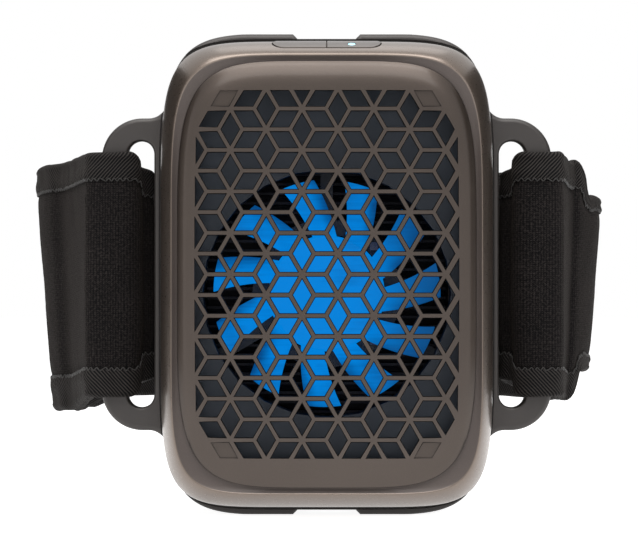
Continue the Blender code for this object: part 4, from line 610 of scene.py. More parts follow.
# front shell
shell = {"halfWidth": 0.03205, "halfHeight": 0.0449, "exponent": 6.2, "bezelExponent": 5.6, "lower": 1.08,
         "bezelLower": 1.20, "bevelSide": 0.0022, "bevelTop": 0.0028, "bevelDepth": 0.0060, "bevelSteps": 14,
         "edge": 0.00016, "edgeRings": ((0.5, 0.05), (1.0, 0.35)), "bevelPower": 1.28, "band": 0.0005,
         "bandSteps": 7, "wall": 0.0018, "ledge": 0.0016, "ledgeThick": 0.0012, "ledgeDeep": 0.0025,
         "seatWidth": 0.02870, "seatHeight": 0.0409, "seatExponent": 4.75, "boss": 0.0028, "bossGap": 0.0008,
         "bossX": 0.02324, "bossZ": 0.0362, "screwHole": 0.0011, "screwReach": 0.0080, "past": 0.001}


def between(first, second, share):
    return first + (second - first) * share


def bevelRings(raised=0.0):
    rings = [upright(superOutline(shell["halfWidth"], shell["halfHeight"] + raised, shell["exponent"],
                                  lower=shell["lower"]), splitY)]
    for step in range(shell["bevelSteps"] + 1):
        share = step / shell["bevelSteps"]
        angle = share * math.pi / 2
        inset = 1 - max(math.cos(angle), 0.0) ** (2 / shell["bevelPower"])
        dip = 1 - math.sin(angle) ** (2 / shell["bevelPower"])
        outline = superOutline(shell["halfWidth"] - shell["bevelSide"] * inset,
                               shell["halfHeight"] + raised - shell["bevelTop"] * inset,
                               between(shell["exponent"], shell["bezelExponent"], share),
                               lower=between(shell["lower"], shell["bezelLower"], share))
        rings.append(upright(outline, bezelY + shell["bevelDepth"] * dip))
    return rings


def makeShell():
    rings = bevelRings()
    frontWidth, frontHeight = shell["halfWidth"] - shell["bevelSide"], shell["halfHeight"] - shell["bevelTop"]
    edge = shell["edge"]
    for inset, back in shell["edgeRings"]:  # the crisp edge, just broken
        outline = superOutline(frontWidth - edge * inset, frontHeight - edge * inset, shell["bezelExponent"],
                               lower=shell["bezelLower"])
        rings.append(upright(outline, bezelY + edge * back))
    for step in range(1, shell["bandSteps"] + 1):  # hollow band down to the panel's seat
        share = step / shell["bandSteps"]
        outline = superOutline(between(frontWidth - edge, shell["seatWidth"], share),
                               between(frontHeight - edge, shell["seatHeight"], share),
                               between(shell["bezelExponent"], shell["seatExponent"], share),
                               lower=1 + (shell["bezelLower"] - 1) * (1 - share))
        rings.append(upright(outline, bezelY + edge * shell["edgeRings"][1][1]
                             + shell["band"] * math.sin(share * math.pi / 2)))
    seat, lip = (superOutline(shell["seatWidth"] - step, shell["seatHeight"] - step, shell["seatExponent"])
                 for step in (0.0, shell["ledge"]))
    inside = superOutline(shell["halfWidth"] - shell["wall"], shell["halfHeight"] - shell["wall"],
                          shell["exponent"], lower=shell["lower"])
    ledgeY = bezelY + shell["ledgeDeep"]
    rings += [upright(seat, ledgeY), upright(lip, ledgeY), upright(lip, ledgeY + shell["ledgeThick"]),
              upright(inside, ledgeY + shell["ledgeThick"]), upright(inside, splitY)]
    body = loftPiece("frontShell", rings, closed=True)
    corners = [(side * shell["bossX"], end * shell["bossZ"]) for side in (-1, 1) for end in (-1, 1)]
    work(body, pegs(corners, shell["boss"], ledgeY + shell["bossGap"], splitY), 'UNION')
    work(body, pegs(corners, shell["screwHole"], splitY - shell["screwReach"], splitY + shell["past"]),
         'DIFFERENCE')
    work(body, buttonBlank("pocket", True, True, button["clearance"], button["floor"],
                           shell["halfHeight"] + shell["past"]), 'DIFFERENCE')
    smooth(body, 28, weighted=True)
    fitPiece(body, finishes["case"], "case", ["front_housing"])


# buttons on the top bevel
button = {"halfLength": 0.0104, "depth": 0.0046, "margin": 0.0020, "under": 0.04250, "floor": 0.0420,
          "proud": 0.00015, "gap": 0.0002, "stemWidth": 0.0016, "stemDepth": 0.0010, "stemLow": 0.04165,
          "stemLap": 0.0003, "lensX": 0.0048, "lensRadius": 0.0007, "lensSetback": 0.0007, "lensLow": 0.0013,
          "lensGap": 0.0001, "lensProud": 0.8, "edge": 0.00010, "clearance": 0.0002, "roundSteps": 24,
          "boreLow": 0.0400, "over": 0.0480}


def buttonBlank(name, left, right, grown, low, high):  # the bar's outline, cut off at a side that is left out
    radius = button["depth"] / 2
    reach = button["halfLength"] - radius
    middle = bezelY + button["margin"] + radius
    points = []
    for side, there in ((1, right), (-1, left)):
        if there:
            start = -side * math.pi / 2
            points += arcPoints((side * reach, middle), radius + grown, start, start + math.pi,
                                button["roundSteps"])
        else:
            gap = -side * button["gap"] / 2
            points += [(gap, middle - side * (radius + grown)), (gap, middle + side * (radius + grown))]
    return heightTool(name, points, low, high)


def broken(obj, width, segments, angle=42):  # edges sharper than the angle, rounded
    modify(obj, 'BEVEL', width=width, segments=segments, limit_method='ANGLE',
           angle_limit=math.radians(angle))


def makeButtons():
    middle = bezelY + button["margin"] + button["depth"] / 2
    lensPlace = (button["lensX"], middle - button["lensSetback"])
    for name, side, body, node in (("leftButton", -1, "left_key", "left_button"),
                                   ("rightButton", 1, "right_key", "right_button")):
        cap = buttonBlank(name, side < 0, side > 0, 0.0, button["under"], shell["halfHeight"] + shell["past"])
        work(cap, loftPiece("skin", bevelRings(button["proud"])), 'INTERSECT')
        if side > 0:
            work(cap, heightTool("bore", circle(lensPlace, button["lensRadius"] + button["lensGap"]),
                                 button["boreLow"], button["over"]), 'DIFFERENCE')
        broken(cap, button["edge"], 3)
        stemX, halfWidth = side * button["lensX"], button["stemWidth"] / 2
        stemY = middle + button["depth"] / 2
        work(cap, blockTool((stemX - halfWidth, stemY - button["stemDepth"], button["stemLow"] + caseZ),
                            (stemX + halfWidth, stemY, button["under"] + button["stemLap"] + caseZ)), 'UNION')
        smooth(cap, 30, weighted=True)
        fitPiece(cap, finishes["button"], body, [node])
    lens = heightTool("indicatorLens", circle(lensPlace, button["lensRadius"]),
                      button["under"] + button["lensLow"], button["over"])
    work(lens, loftPiece("skin", bevelRings(button["proud"] * button["lensProud"])), 'INTERSECT')
    broken(lens, 0.0001, 2)
    smooth(lens, 40)
    fitPiece(lens, finishes["lens"], "right_key", ["indicator_lens"])


makeShell()
makeButtons()
print("shell and buttons ready")


# grille panel
grille = {"halfWidth": 0.02862, "halfHeight": 0.0408, "exponent": 4.75, "thick": 0.0016, "recess": 0.0020,
          "rimBack": 0.0022, "rise": 0.0017, "crown": 0.0085, "sideCrown": 0.0046, "crownSteps": 16,
          "crownPower": 1.6, "brow": 0.55, "cell": 0.004565, "bar": 0.00098, "shift": -0.00472,
          "sideMargin": 0.00332, "topMargin": 0.005225, "bow": 0.0005, "least": 0.06, "through": 0.006,
          "flare": 0.00015, "flareDepth": 0.00022, "blindDepth": 0.00100, "leftCorner": 0.64,
          "rightCorner": 0.82, "blindCorner": 0.70, "topRow": 0.55}


def latticePlaces():  # centre, turn in sixths and blindness of each cell of the upper half
    side = grille["cell"]
    halfWidth = grille["halfWidth"] - grille["sideMargin"]
    halfHeight = grille["halfHeight"] - grille["topMargin"]
    column, row = 1.5 * side, math.sqrt(3) * side
    topRow = halfHeight - grille["topRow"] * row
    places = []
    for step in range(-8, 9):
        for level in range(-2, 7):
            starX = grille["shift"] + step * column
            starZ = (row / 2 if step % 2 else 0.0) + level * row
            for turn in range(3):
                middle = (turn * 2 + 1) * math.pi / 6
                reach = side * math.cos(math.pi / 6)
                x, z = starX + reach * math.cos(middle), starZ + reach * math.sin(middle)
                if z < -side / 10 or z > halfHeight + side / 8 or abs(x) > halfWidth:
                    continue
                if z > topRow and x < -grille["leftCorner"] * halfWidth:
                    if turn == 1 and abs(starX) < grille["rightCorner"] * halfWidth:
                        places.append((starX - side / 4, starZ + row / 4, 0, True))
                elif z > topRow and x > grille["rightCorner"] * halfWidth:
                    continue
                elif z > topRow and x > grille["blindCorner"] * halfWidth:
                    places.append((x, z, turn, True))
                else:
                    places.append((x, z, turn, False))
                    if turn == 1 and x < -halfWidth + column / 2:
                        places.append((-x, z, turn, False))
    return places


def cellCorners():  # one opening, its long way upright
    across, up = grille["cell"] / 2, grille["cell"] * math.sqrt(3) / 2
    share = 1 - (grille["bar"] / 2 - grille["flare"]) / (across * math.cos(math.pi / 6))
    return [Vector((x * across * share, 0, z * up * share)) for x, z in ((1, 0), (0, 1), (-1, 0), (0, -1))]


def clipped(loop, normal, limit):  # the part of a flat loop on the near side of a line
    kept = []
    for index, point in enumerate(loop):
        before = loop[index - 1]
        here, there = point.dot(normal) - limit, before.dot(normal) - limit
        if (here > 0) != (there > 0):
            kept.append(before.lerp(point, there / (there - here)))
        if here <= 0:
            kept.append(point)
    return kept


def loopArea(loop):
    pairs = zip([loop[-1]] + loop, loop)
    return abs(sum(before.x * point.z - point.x * before.z for before, point in pairs)) / 2


def cellCutter(loop, floor):  # a little wider at the face than inside
    middle = sum(loop, Vector()) / len(loop)
    share = 1 - 2 * grille["flare"] / math.sqrt(loopArea(loop))
    inner = [middle.lerp(point, share) for point in loop]
    rings = ((panelY - 0.001, loop), (panelY, loop), (panelY + grille["flareDepth"], inner), (floor, inner))
    return loftPiece("cell", [[(point.x, depth, point.z) for point in points] for depth, points in rings])


def placeCells():
    halfWidth = grille["halfWidth"] - grille["sideMargin"]
    halfHeight = grille["halfHeight"] - grille["topMargin"]
    top = halfHeight - grille["bar"] / 2 + grille["flare"]
    corners = cellCorners()
    full = loopArea(corners)
    made, models = [], {}
    for x, z, turn, blind in latticePlaces():
        for mirror in ((1, -1) if z > grille["cell"] / 10 else (1,)):
            place = Vector((x, 0, z * mirror))
            turned = Matrix.Diagonal((1, 1, mirror)) @ Matrix.Rotation(-(turn - 1) * math.pi / 3, 3, 'Y')
            loop = [place + turned @ corner for corner in corners]
            limit = halfWidth - grille["bow"] * (z / halfHeight) ** 2
            loop = clipped(loop, Vector((math.copysign(1, x), 0, 0)), limit)
            loop = clipped(loop, Vector((0, 0, mirror)), top) if loop else loop
            if len(loop) < 3 or loopArea(loop) < grille["least"] * full:
                continue
            floor = panelY + (grille["blindDepth"] if blind else grille["through"])
            if loopArea(loop) < full * 0.999:
                made.append(cellCutter(loop, floor))
                continue
            if (turn, blind, mirror) not in models:
                models[turn, blind, mirror] = cellCutter([turned @ corner for corner in corners], floor)
            copy = twin(models[turn, blind, mirror])
            copy.data.transform(Matrix.Translation(place))
            made.append(copy)
    for model in models.values():
        bpy.data.objects.remove(model, do_unlink=True)
    cutter = joinAll(made)
    cutter.data.transform(Matrix.Translation((0, 0, caseZ)))
    turnOut(cutter)
    return cutter


def makePanel():
    hollow = superOutline(grille["halfWidth"] - grille["recess"], grille["halfHeight"] - grille["recess"],
                          grille["exponent"])
    rim = superOutline(grille["halfWidth"], grille["halfHeight"], grille["exponent"])
    back = bezelY + grille["rimBack"]
    rings = [upright(hollow, panelY + grille["thick"]), upright(hollow, back), upright(rim, back)]
    for step in range(grille["crownSteps"] + 1):
        share = (step / grille["crownSteps"]) ** grille["crownPower"]
        brow = grille["brow"] * (1 - share) ** 5  # steep near the rim, then a long slow crown
        drop = grille["rise"] * (brow + (1 - grille["brow"]) * (1 - share) ** 2)
        rings.append(upright(superOutline(grille["halfWidth"] - grille["sideCrown"] * share,
                                          grille["halfHeight"] - grille["crown"] * share,
                                          grille["exponent"]), panelY + drop))
    panel = loftPiece("grillePanel", rings)
    work(panel, placeCells(), 'DIFFERENCE')
    smooth(panel, 26, weighted=True)
    fitPiece(panel, finishes["panel"], "case", ["grille_panel"])


makePanel()
print("grille ready")


# rear frame with its wings
wings = {"rimWidth": 0.0322, "rimHeight": 0.0471, "rimPower": 5.8, "rimFlat": 0.00015, "rimSteps": 34,
         "notchWidth": 0.0057, "notchDepth": 0.0009, "thick": 0.0045, "ring": 0.0034, "halfWidth": 0.0441,
         "halfHeight": 0.0306, "corner": 0.0080, "fillet": 0.0036, "bar": 0.0052, "slotInner": 0.0338,
         "slotHeight": 0.02615, "edge": 0.0009, "slotEdge": 0.0006, "edgeSteps": 5, "slotSteps": 4,
         "grooveWidth": 0.0329, "grooveHeight": 0.0461, "grooveDepth": 0.0012, "roundSteps": 18,
         "filletSteps": 10, "endSteps": 16, "least": 0.00002, "past": 0.001}


def rimSide(height):
    full = wings["rimHeight"] + wings["rimFlat"]
    return wings["rimWidth"] * (1 - (abs(height) / full) ** wings["rimPower"]) ** (1 / wings["rimPower"])


def rimQuarter(startHeight):
    full = wings["rimHeight"] + wings["rimFlat"]
    power = wings["rimPower"] / 2
    start = math.asin((startHeight / full) ** power)
    end = math.acos(((wings["notchWidth"] + wings["notchDepth"]) / wings["rimWidth"]) ** power)
    points = []
    for step in range(wings["rimSteps"] + 1):
        angle = start + (end - start) * step / wings["rimSteps"]
        points.append((wings["rimWidth"] * math.cos(angle) ** (1 / power),
                       min(full * math.sin(angle) ** (1 / power), wings["rimHeight"])))
    points.append((wings["notchWidth"], wings["rimHeight"] - wings["notchDepth"]))
    return points


def fourWay(quarter):  # a quarter of an outline, mirrored round, with its doubles left out
    back = quarter[::-1]
    loop = quarter + [(-x, z) for x, z in back] + [(-x, -z) for x, z in quarter] + [(x, -z) for x, z in back]
    kept = []
    for point in loop:
        if not kept or math.dist(point, kept[-1]) > wings["least"]:
            kept.append(point)
    if math.dist(kept[0], kept[-1]) <= wings["least"]:
        kept.pop()
    return kept


def wingOutline():
    fillet, corner = wings["fillet"], wings["corner"]
    side = rimSide(wings["halfHeight"] + fillet)
    quarter = arcPoints((wings["halfWidth"] - corner, wings["halfHeight"] - corner), corner, 0, math.pi / 2,
                        wings["roundSteps"])
    quarter += arcPoints((side + fillet, wings["halfHeight"] + fillet), fillet, 1.5 * math.pi, math.pi,
                         wings["filletSteps"])
    return fourWay(quarter + rimQuarter(wings["halfHeight"] + fillet)[1:])


def inward(loop, distance):
    moved = []
    for index, point in enumerate(loop):
        before = Vector(point) - Vector(loop[index - 1])
        after = Vector(loop[(index + 1) % len(loop)]) - Vector(point)
        first = Vector((-before.y, before.x)).normalized()
        second = Vector((-after.y, after.x)).normalized()
        shift = (first + second) * (distance / (1 + first.dot(second)))
        moved.append((point[0] + shift.x, point[1] + shift.y))
    return moved


def roundedSlab(name, loop, front, back, edge, steps, outward=1.0):
    rings = []
    for face, way, order in ((front, 1, range(steps + 1)), (back, -1, range(steps, -1, -1))):
        for step in order:
            angle = step / steps * math.pi / 2
            rings.append(upright(inward(loop, outward * edge * (1 - math.sin(angle))),
                                 face + way * edge * (1 - math.cos(angle))))
    if outward < 0:  # a cutter runs past both faces
        rings.insert(0, [(x, front - wings["past"], z) for x, y, z in rings[0]])
        rings.append([(x, back + wings["past"], z) for x, y, z in rings[-1]])
    return loftPiece(name, rings)


def makeFrame():
    back = frameY + wings["thick"]
    body = roundedSlab("strapFrame", wingOutline(), frameY, back, wings["edge"], wings["edgeSteps"])
    opening = superOutline(wings["rimWidth"] - wings["ring"],
                           wings["rimHeight"] - wings["notchDepth"] - wings["ring"], wings["rimPower"], 96)
    work(body, depthTool("opening", opening, frameY - 2 * wings["past"], back + 2 * wings["past"]),
         'DIFFERENCE')
    groove = superOutline(wings["grooveWidth"], wings["grooveHeight"], shell["exponent"], 96)
    work(body, depthTool("groove", groove, frameY - 2 * wings["past"], frameY + wings["grooveDepth"]),
         'DIFFERENCE')
    outer = wings["halfWidth"] - wings["bar"]
    radius = (outer - wings["slotInner"]) / 2
    reach = wings["slotHeight"] - radius
    for side in (-1, 1):
        middle = side * (outer + wings["slotInner"]) / 2
        loop = arcPoints((middle, reach), radius, 0, math.pi, wings["endSteps"])
        loop += arcPoints((middle, -reach), radius, math.pi, math.tau, wings["endSteps"])
        slot = roundedSlab("slot", loop, frameY, back, wings["slotEdge"], wings["slotSteps"], outward=-1.0)
        work(body, slot, 'DIFFERENCE')
    smooth(body, 34, weighted=True)
    fitPiece(body, finishes["frame"], "case", ["strap_frame"])


makeFrame()
print("frame with wings ready")


# fan rotor: hub cup and swept blades
rotor = {"hub": 0.0112, "depth": 0.0056, "wall": 0.0012, "round": 0.0007, "roundSteps": 6, "sides": 96,
         "nose": ((0.0024, 0.0003), (0.0030, 0.0)), "radius": 0.02195, "chord": 0.00648, "rootShare": 0.66,
         "setback": 0.0004, "rise": 0.0036, "thick": 0.0006, "edge": 0.00012, "curve": 0.85,
         "rootSteps": 12, "chordSteps": 8, "camber": 0.00035}  # glow holds the blades' count and sweep


def makeRotor():
    front = fanCentre.y
    hub, corner, wall = rotor["hub"], rotor["round"], rotor["wall"]
    profile = [(radius, front + depth) for radius, depth in rotor["nose"]]
    for step in range(rotor["roundSteps"] + 1):
        angle = step * math.pi / (2 * rotor["roundSteps"])
        profile.append((hub - corner + corner * math.sin(angle), front + corner * (1 - math.cos(angle))))
    back = front + rotor["depth"]
    profile += [(hub, back), (hub - wall, back), (hub - wall, front + wall)]
    turns = [turn * math.tau / rotor["sides"] for turn in range(rotor["sides"])]
    rings = [[(radius * math.cos(turn), depth, fanCentre.z + radius * math.sin(turn)) for turn in turns]
             for radius, depth in profile]
    pieces = [loftPiece("fanRotor", rings)]
    rest()
    bpy.ops.mesh.primitive_grid_add(x_subdivisions=rotor["rootSteps"], y_subdivisions=rotor["chordSteps"],
                                    size=1.0)
    blade = bpy.context.object
    root = hub - wall / 2
    for vertex in blade.data.vertices:
        out, along = vertex.co.x + 0.5, vertex.co.y + 0.5
        radius = root + (rotor["radius"] - root) * out
        chord = rotor["chord"] * (rotor["rootShare"] + (1 - rotor["rootShare"]) * out)
        angle = glow["start"] + glow["sweep"] * out ** rotor["curve"] + chord / radius * (along - 0.5)
        depth = front + rotor["setback"] + rotor["rise"] * along + rotor["camber"] * math.sin(math.pi * along)
        vertex.co = (radius * math.cos(angle), depth, radius * math.sin(angle))
    modify(blade, 'SOLIDIFY', thickness=rotor["thick"], offset=0.0)
    broken(blade, rotor["edge"], 2, 50)
    for number in range(glow["blades"]):
        copy = twin(blade)
        spin = Matrix.Rotation(-math.tau * number / glow["blades"], 4, 'Y')
        copy.data.transform(Matrix.Translation((0, 0, fanCentre.z)) @ spin)
        pieces.append(copy)
    bpy.data.objects.remove(blade, do_unlink=True)
    whole = joinAll(pieces)
    turnOut(whole)
    smooth(whole, 35)
    fitPiece(whole, finishes["glow"], "fan", ["fan_rotor"])


makeRotor()
print("fan rotor ready")


# strap: one padded band with a folded hem along each edge
strap = {"centreX": -0.00335, "reach": 0.05385, "depthReach": 0.0400, "setback": 0.0395, "pitch": 0.0040,
         "wingMid": -0.029975, "entry": 28, "flapEnd": 14, "shoulder": 23, "tabStart": 18, "tabInset": 0.0060,
         "tailEnd": 4, "endKnots": 6, "loopKnots": 24, "wrapKnots": 8, "wrapDepth": 0.00400, "wrapPower": 2.7,
         "right": (0.0415, 0.0040), "left": (0.0419, 0.0046), "turnX": 0.0356, "turnY": 0.0052,
         "turnInset": 0.0031, "rollInset": (0.0007, 0.0026), "drop": 0.0022, "taper": 0.033,
         "halfHeight": 0.0240, "hem": 0.0055, "tabHem": 0.0030, "sag": 0.0022, "sagFrom": 0.0460,
         "sagOver": 0.005, "sagLow": 0.4, "step": 0.0005, "curveSteps": 16, "faceMark": 0.05}
band = {"thick": 0.0011, "puff": 0.00025, "lap": 0.0006, "edge": 0.0016, "edgeThin": 0.00030, "columns": 56,
        "grain": 0.00005, "grainScale": 900}
folds = {"slow": 0.00022, "slowRun": 90, "slowUp": 60, "slowSeed": 3.1, "lean": 0.00020, "leanRun": 300,
         "leanSlant": 170, "leanUp": 40, "leanSeed": 9.4, "spread": 0.007, "least": 0.35}


class Spot:  # a place on the strap's middle line
    def __init__(self, point, along, inset, run):
        self.point = point
        self.side = Vector((-along.y, along.x))
        self.share = unit((point.y - strap["wingMid"]) / strap["setback"])  # 0 at the wings, 1 at the middle
        self.inset = inset
        self.run = run


def unit(value):
    return min(max(value, 0.0), 1.0)


def loopAt(degrees, grown=0.0, inset=0.0):
    angle = math.radians(degrees)
    return (strap["centreX"] + (strap["reach"] + grown) * math.cos(angle),
            strap["wingMid"] + strap["setback"] + (strap["depthReach"] + grown) * math.sin(angle), inset)


def loopKnots(start, sweep, steps, grown=0.0, inset=0.0):
    return [loopAt(start + sweep * step / steps, grown, inset) for step in range(steps + 1)]


def wrapAt(side):
    middle, half = strap["right"] if side > 0 else strap["left"]
    steps, power = strap["wrapKnots"], 2 / strap["wrapPower"]
    points = []
    for step in range(steps + 1):
        angle = math.pi * step / steps
        across = math.copysign(abs(math.cos(angle)) ** power, math.cos(angle))
        inset = strap["rollInset"][step - steps + 1] if step > steps - 2 else 0.0
        points.append((side * (middle + half * across),
                       strap["wingMid"] - strap["wrapDepth"] * math.sin(angle) ** power, inset))
    return points + [(side * strap["turnX"], strap["wingMid"] + strap["turnY"], strap["turnInset"])]


def strapLine():  # the middle line as places with how much narrower the strap is, evenly spaced
    entry = strap["entry"]
    knots = loopKnots(strap["flapEnd"], -strap["flapEnd"] - strap["tabStart"], strap["endKnots"],
                      strap["pitch"], strap["tabInset"])
    knots += [loopAt(-strap["shoulder"], strap["pitch"]), loopAt(-entry, strap["pitch"])]
    knots += wrapAt(1) + loopKnots(-entry, 180 + 2 * entry, strap["loopKnots"]) + wrapAt(-1)
    knots += loopKnots(180 + entry, strap["tailEnd"] - entry, strap["endKnots"], -strap["pitch"])
    ends = [Vector(point) for point in [knots[0]] + knots + [knots[-1]]]
    fine = []
    for index in range(1, len(ends) - 2):
        before, start, end, after = ends[index - 1:index + 3]
        pull = end - before
        bend = 2 * before - 5 * start + 4 * end - after
        twist = 3 * start - before - 3 * end + after
        for step in range(strap["curveSteps"]):
            t = step / strap["curveSteps"]
            fine.append(0.5 * (2 * start + pull * t + bend * t ** 2 + twist * t ** 3))
    fine.append(ends[-2])
    line, travelled, target = [], 0.0, 0.0
    for first, second in zip(fine, fine[1:]):
        span = (second - first).xy.length
        while target <= travelled + span and span > 0:
            line.append(first.lerp(second, (target - travelled) / span))
            target += strap["step"]
        travelled += span
    return line


def strapSpots():
    line = strapLine()
    spots = []
    for index, point in enumerate(line):
        along = (line[min(index + 2, len(line) - 1)] - line[max(index - 2, 0)]).xy.normalized()
        spots.append(Spot(point.xy, along, point.z, index * strap["step"]))
    return spots


strapRun = strapSpots()
strapLength = strapRun[-1].run


def hemWidth(spot):  # narrower along the tab
    return strap["hem"] - (strap["hem"] - strap["tabHem"]) * unit(spot.inset / strap["tabInset"] * 2 - 1)


def strapPoint(spot, offset, height):
    place = spot.point + spot.side * offset
    taper = 1 + strap["taper"] * spot.share * height / strap["halfHeight"]
    low = max(-height / strap["halfHeight"] - strap["sagLow"], 0.0) / (1 - strap["sagLow"])
    loose = unit((-strap["sagFrom"] - spot.point.x) / strap["sagOver"])
    sag = strap["sag"] * low * low * loose
    return Vector((place.x * taper, place.y, height - strap["drop"] * spot.share - sag + caseZ))


def wrinkle(spot, height):  # how far the cloth's middle moves sideways
    slow = noise.noise(Vector((spot.run * folds["slowRun"], height * folds["slowUp"], folds["slowSeed"])))
    lean = noise.noise(Vector((spot.run * folds["leanRun"] + height * folds["leanSlant"],
                               height * folds["leanUp"], folds["leanSeed"])))
    near = math.exp(-((abs(height) - strap["halfHeight"]) / folds["spread"]) ** 2)
    return folds["slow"] * slow + folds["lean"] * lean * (folds["least"] + near)


def newMesh(name, verts, faces):
    mesh = bpy.data.meshes.new(name)
    mesh.from_pydata(verts, [], faces)
    obj = bpy.data.objects.new(name, mesh)
    bpy.context.collection.objects.link(obj)
    turnOut(obj)
    return obj


def tubeFaces(rows, count, first=0):  # the skin of a row of rings, closed at both ends
    faces = []
    for row in range(rows - 1):
        low, high = first + row * count, first + (row + 1) * count
        for index in range(count):
            after = (index + 1) % count
            faces.append((low + index, low + after, high + after, high + index))
    faces.append(tuple(range(first + count - 1, first - 1, -1)))
    faces.append(tuple(range(first + (rows - 1) * count, first + rows * count)))
    return faces


def clothPiece(name, rings, surface, node):  # rings of points, each with its mark on the cloth
    points = [point for ring in rings for point, mark in ring]
    obj = newMesh(name, points, tubeFaces(len(rings), len(rings[0])))
    marks = obj.data.attributes.new("cloth", 'FLOAT_VECTOR', 'POINT')
    marks.data.foreach_set("vector", [value for ring in rings for point, mark in ring for value in mark])
    smooth(obj, 60)
    return fitPiece(obj, surface, "case", [node])


def clothMark(spot, height, offset):
    return spot.run - strapLength / 2, height, math.copysign(strap["faceMark"], offset)


def bothFaces(reach, columns):  # up one face and down the other
    heights = [-reach + 2 * reach * step / columns for step in range(columns + 1)]
    return [(1.0, height) for height in heights] + [(-1.0, height) for height in reversed(heights)]


def makeBand():
    rings = []
    for spot in strapRun:
        reach = strap["halfHeight"] - hemWidth(spot) + band["lap"] - spot.inset
        ring = []
        for face, height in bothFaces(reach, band["columns"]):
            edge = (reach - abs(height)) / band["edge"]
            pad = band["thick"] - band["edgeThin"] * math.exp(-edge * edge)
            swell = band["puff"] * (1 - (height / reach) ** 4)
            place = Vector((spot.run * band["grainScale"], height * band["grainScale"], face))
            offset = face * (pad + swell + band["grain"] * noise.noise(place)) + wrinkle(spot, height)
            ring.append((strapPoint(spot, offset, height), clothMark(spot, height, face)))
        rings.append(ring)
    piece = clothPiece("strapBand", rings, finishes["knit"], "strap_band")


# folded binding along both edges, and the zigzag thread that holds it
hem = {"thick": 0.00135, "faceSteps": 10, "wander": 0.00025, "wanderRun": 160, "wanderSide": 5.0,
       "wanderSeed": 1.7, "scallop": 0.00030, "pull": 0.00010, "gather": 0.00034, "gatherRun": 420,
       "gatherSide": 3.0, "gatherUp": 120, "pitch": 0.0011, "low": 0.86, "bulge": 1.4}
thread = {"sides": 6, "across": 0.00010, "out": 0.00008, "reach": 0.00036, "arch": 0.00006, "sunk": 0.93,
          "proud": 0.00005, "lift": 0.00002, "endGap": 0.0005, "least": 0.0001,
          "rings": ((0.02, 0.35), (0.14, 1.0), (0.5, 1.15), (0.86, 1.0), (0.98, 0.35))}


def hemSection(sign, inner, outer):
    thick, steps = hem["thick"], hem["faceSteps"]
    face = []
    for step in range(steps + 1):  # over the face from the seam to the turn
        share = step / steps
        swell = hem["low"] + (1 - hem["low"]) * math.sin(math.pi * min(share * hem["bulge"], 1.0))
        face.append((thick * swell, inner + (outer - thick - inner) * share, share))
    turn = []
    for step in range(1, steps):
        angle = math.pi / 2 - math.pi * step / steps
        turn.append((thick * math.sin(angle), outer - thick + thick * math.cos(angle), 1.0))
    back = [(-offset, height, share) for offset, height, share in reversed(face)]
    return [(offset, sign * height, share) for offset, height, share in face + turn + back]


def makeHem(name, sign, node):
    rings = []
    for spot in strapRun:
        wander = noise.noise(Vector((spot.run * hem["wanderRun"], sign * hem["wanderSide"],
                                     hem["wanderSeed"])))
        outer = strap["halfHeight"] - spot.inset + hem["wander"] * wander
        stitch = spot.run / hem["pitch"]
        inner = strap["halfHeight"] - hemWidth(spot) - spot.inset + abs(stitch % 1.0 - 0.5) * hem["scallop"]
        pull = hem["pull"] * math.cos(stitch * math.tau)
        ring = []
        for offset, height, share in hemSection(sign, inner, outer):
            crease = noise.noise(Vector((spot.run * hem["gatherRun"], sign * hem["gatherSide"],
                                         height * hem["gatherUp"])))
            gather = hem["gather"] * crease * min(1.0, 1.3 - share)
            pinch = math.copysign(pull * (1 - share) ** 2 + gather, offset)
            ring.append((strapPoint(spot, offset + pinch + wrinkle(spot, height), height),
                         clothMark(spot, height, offset)))
        rings.append(ring)
    piece = clothPiece(name, rings, finishes["twill"], node)


def stitchEnd(number, sign, face):  # the thread's place over the seam, on the hem and on the band by turns
    spot = strapRun[min(int(round(number * hem["pitch"] / 2 / strap["step"])), len(strapRun) - 1)]
    onHem = number % 2
    seam = strap["halfHeight"] - hemWidth(spot) - spot.inset
    height = sign * (seam + (thread["reach"] if onHem else -thread["reach"]))
    offset = (hem["thick"] * thread["sunk"] if onHem else band["thick"] + thread["proud"]) + thread["lift"]
    return spot, strapPoint(spot, face * offset + wrinkle(spot, height), height)


def makeStitches():  # a zigzag thread across the seam of each hem, on both faces
    verts, faces = [], []
    sides = thread["sides"]
    turns = [math.tau * turn / sides for turn in range(sides)]
    for sign, face in ((-1, -1), (-1, 1), (1, -1), (1, 1)):
        number = 0
        while (number + 1) * hem["pitch"] / 2 < strapLength - thread["endGap"]:
            _, start = stitchEnd(number, sign, face)
            spot, end = stitchEnd(number + 1, sign, face)
            number += 1
            run = end - start
            if run.length <= thread["least"]:
                continue
            outward = (spot.side.to_3d() * face).normalized()
            across = run.normalized().cross(outward).normalized()
            faces += tubeFaces(len(thread["rings"]), sides, len(verts))
            for share, size in thread["rings"]:
                centre = start + run * share + outward * thread["arch"] * math.sin(math.pi * share)
                verts += [centre + (across * math.cos(turn) * thread["across"]
                                    + outward * math.sin(turn) * thread["out"]) * size for turn in turns]
    stitches = newMesh("hemStitches", verts, faces)
    smooth(stitches, 60)
    fitPiece(stitches, finishes["thread"], "case", [])


# hook patches between the strap's layers
patches = {"thick": 0.0008, "halfHeight": 0.0120, "seam": 6, "steps": 48, "rows": 24, "step": 0.0004,
           "edge": 0.0006, "edgeThin": 0.45}


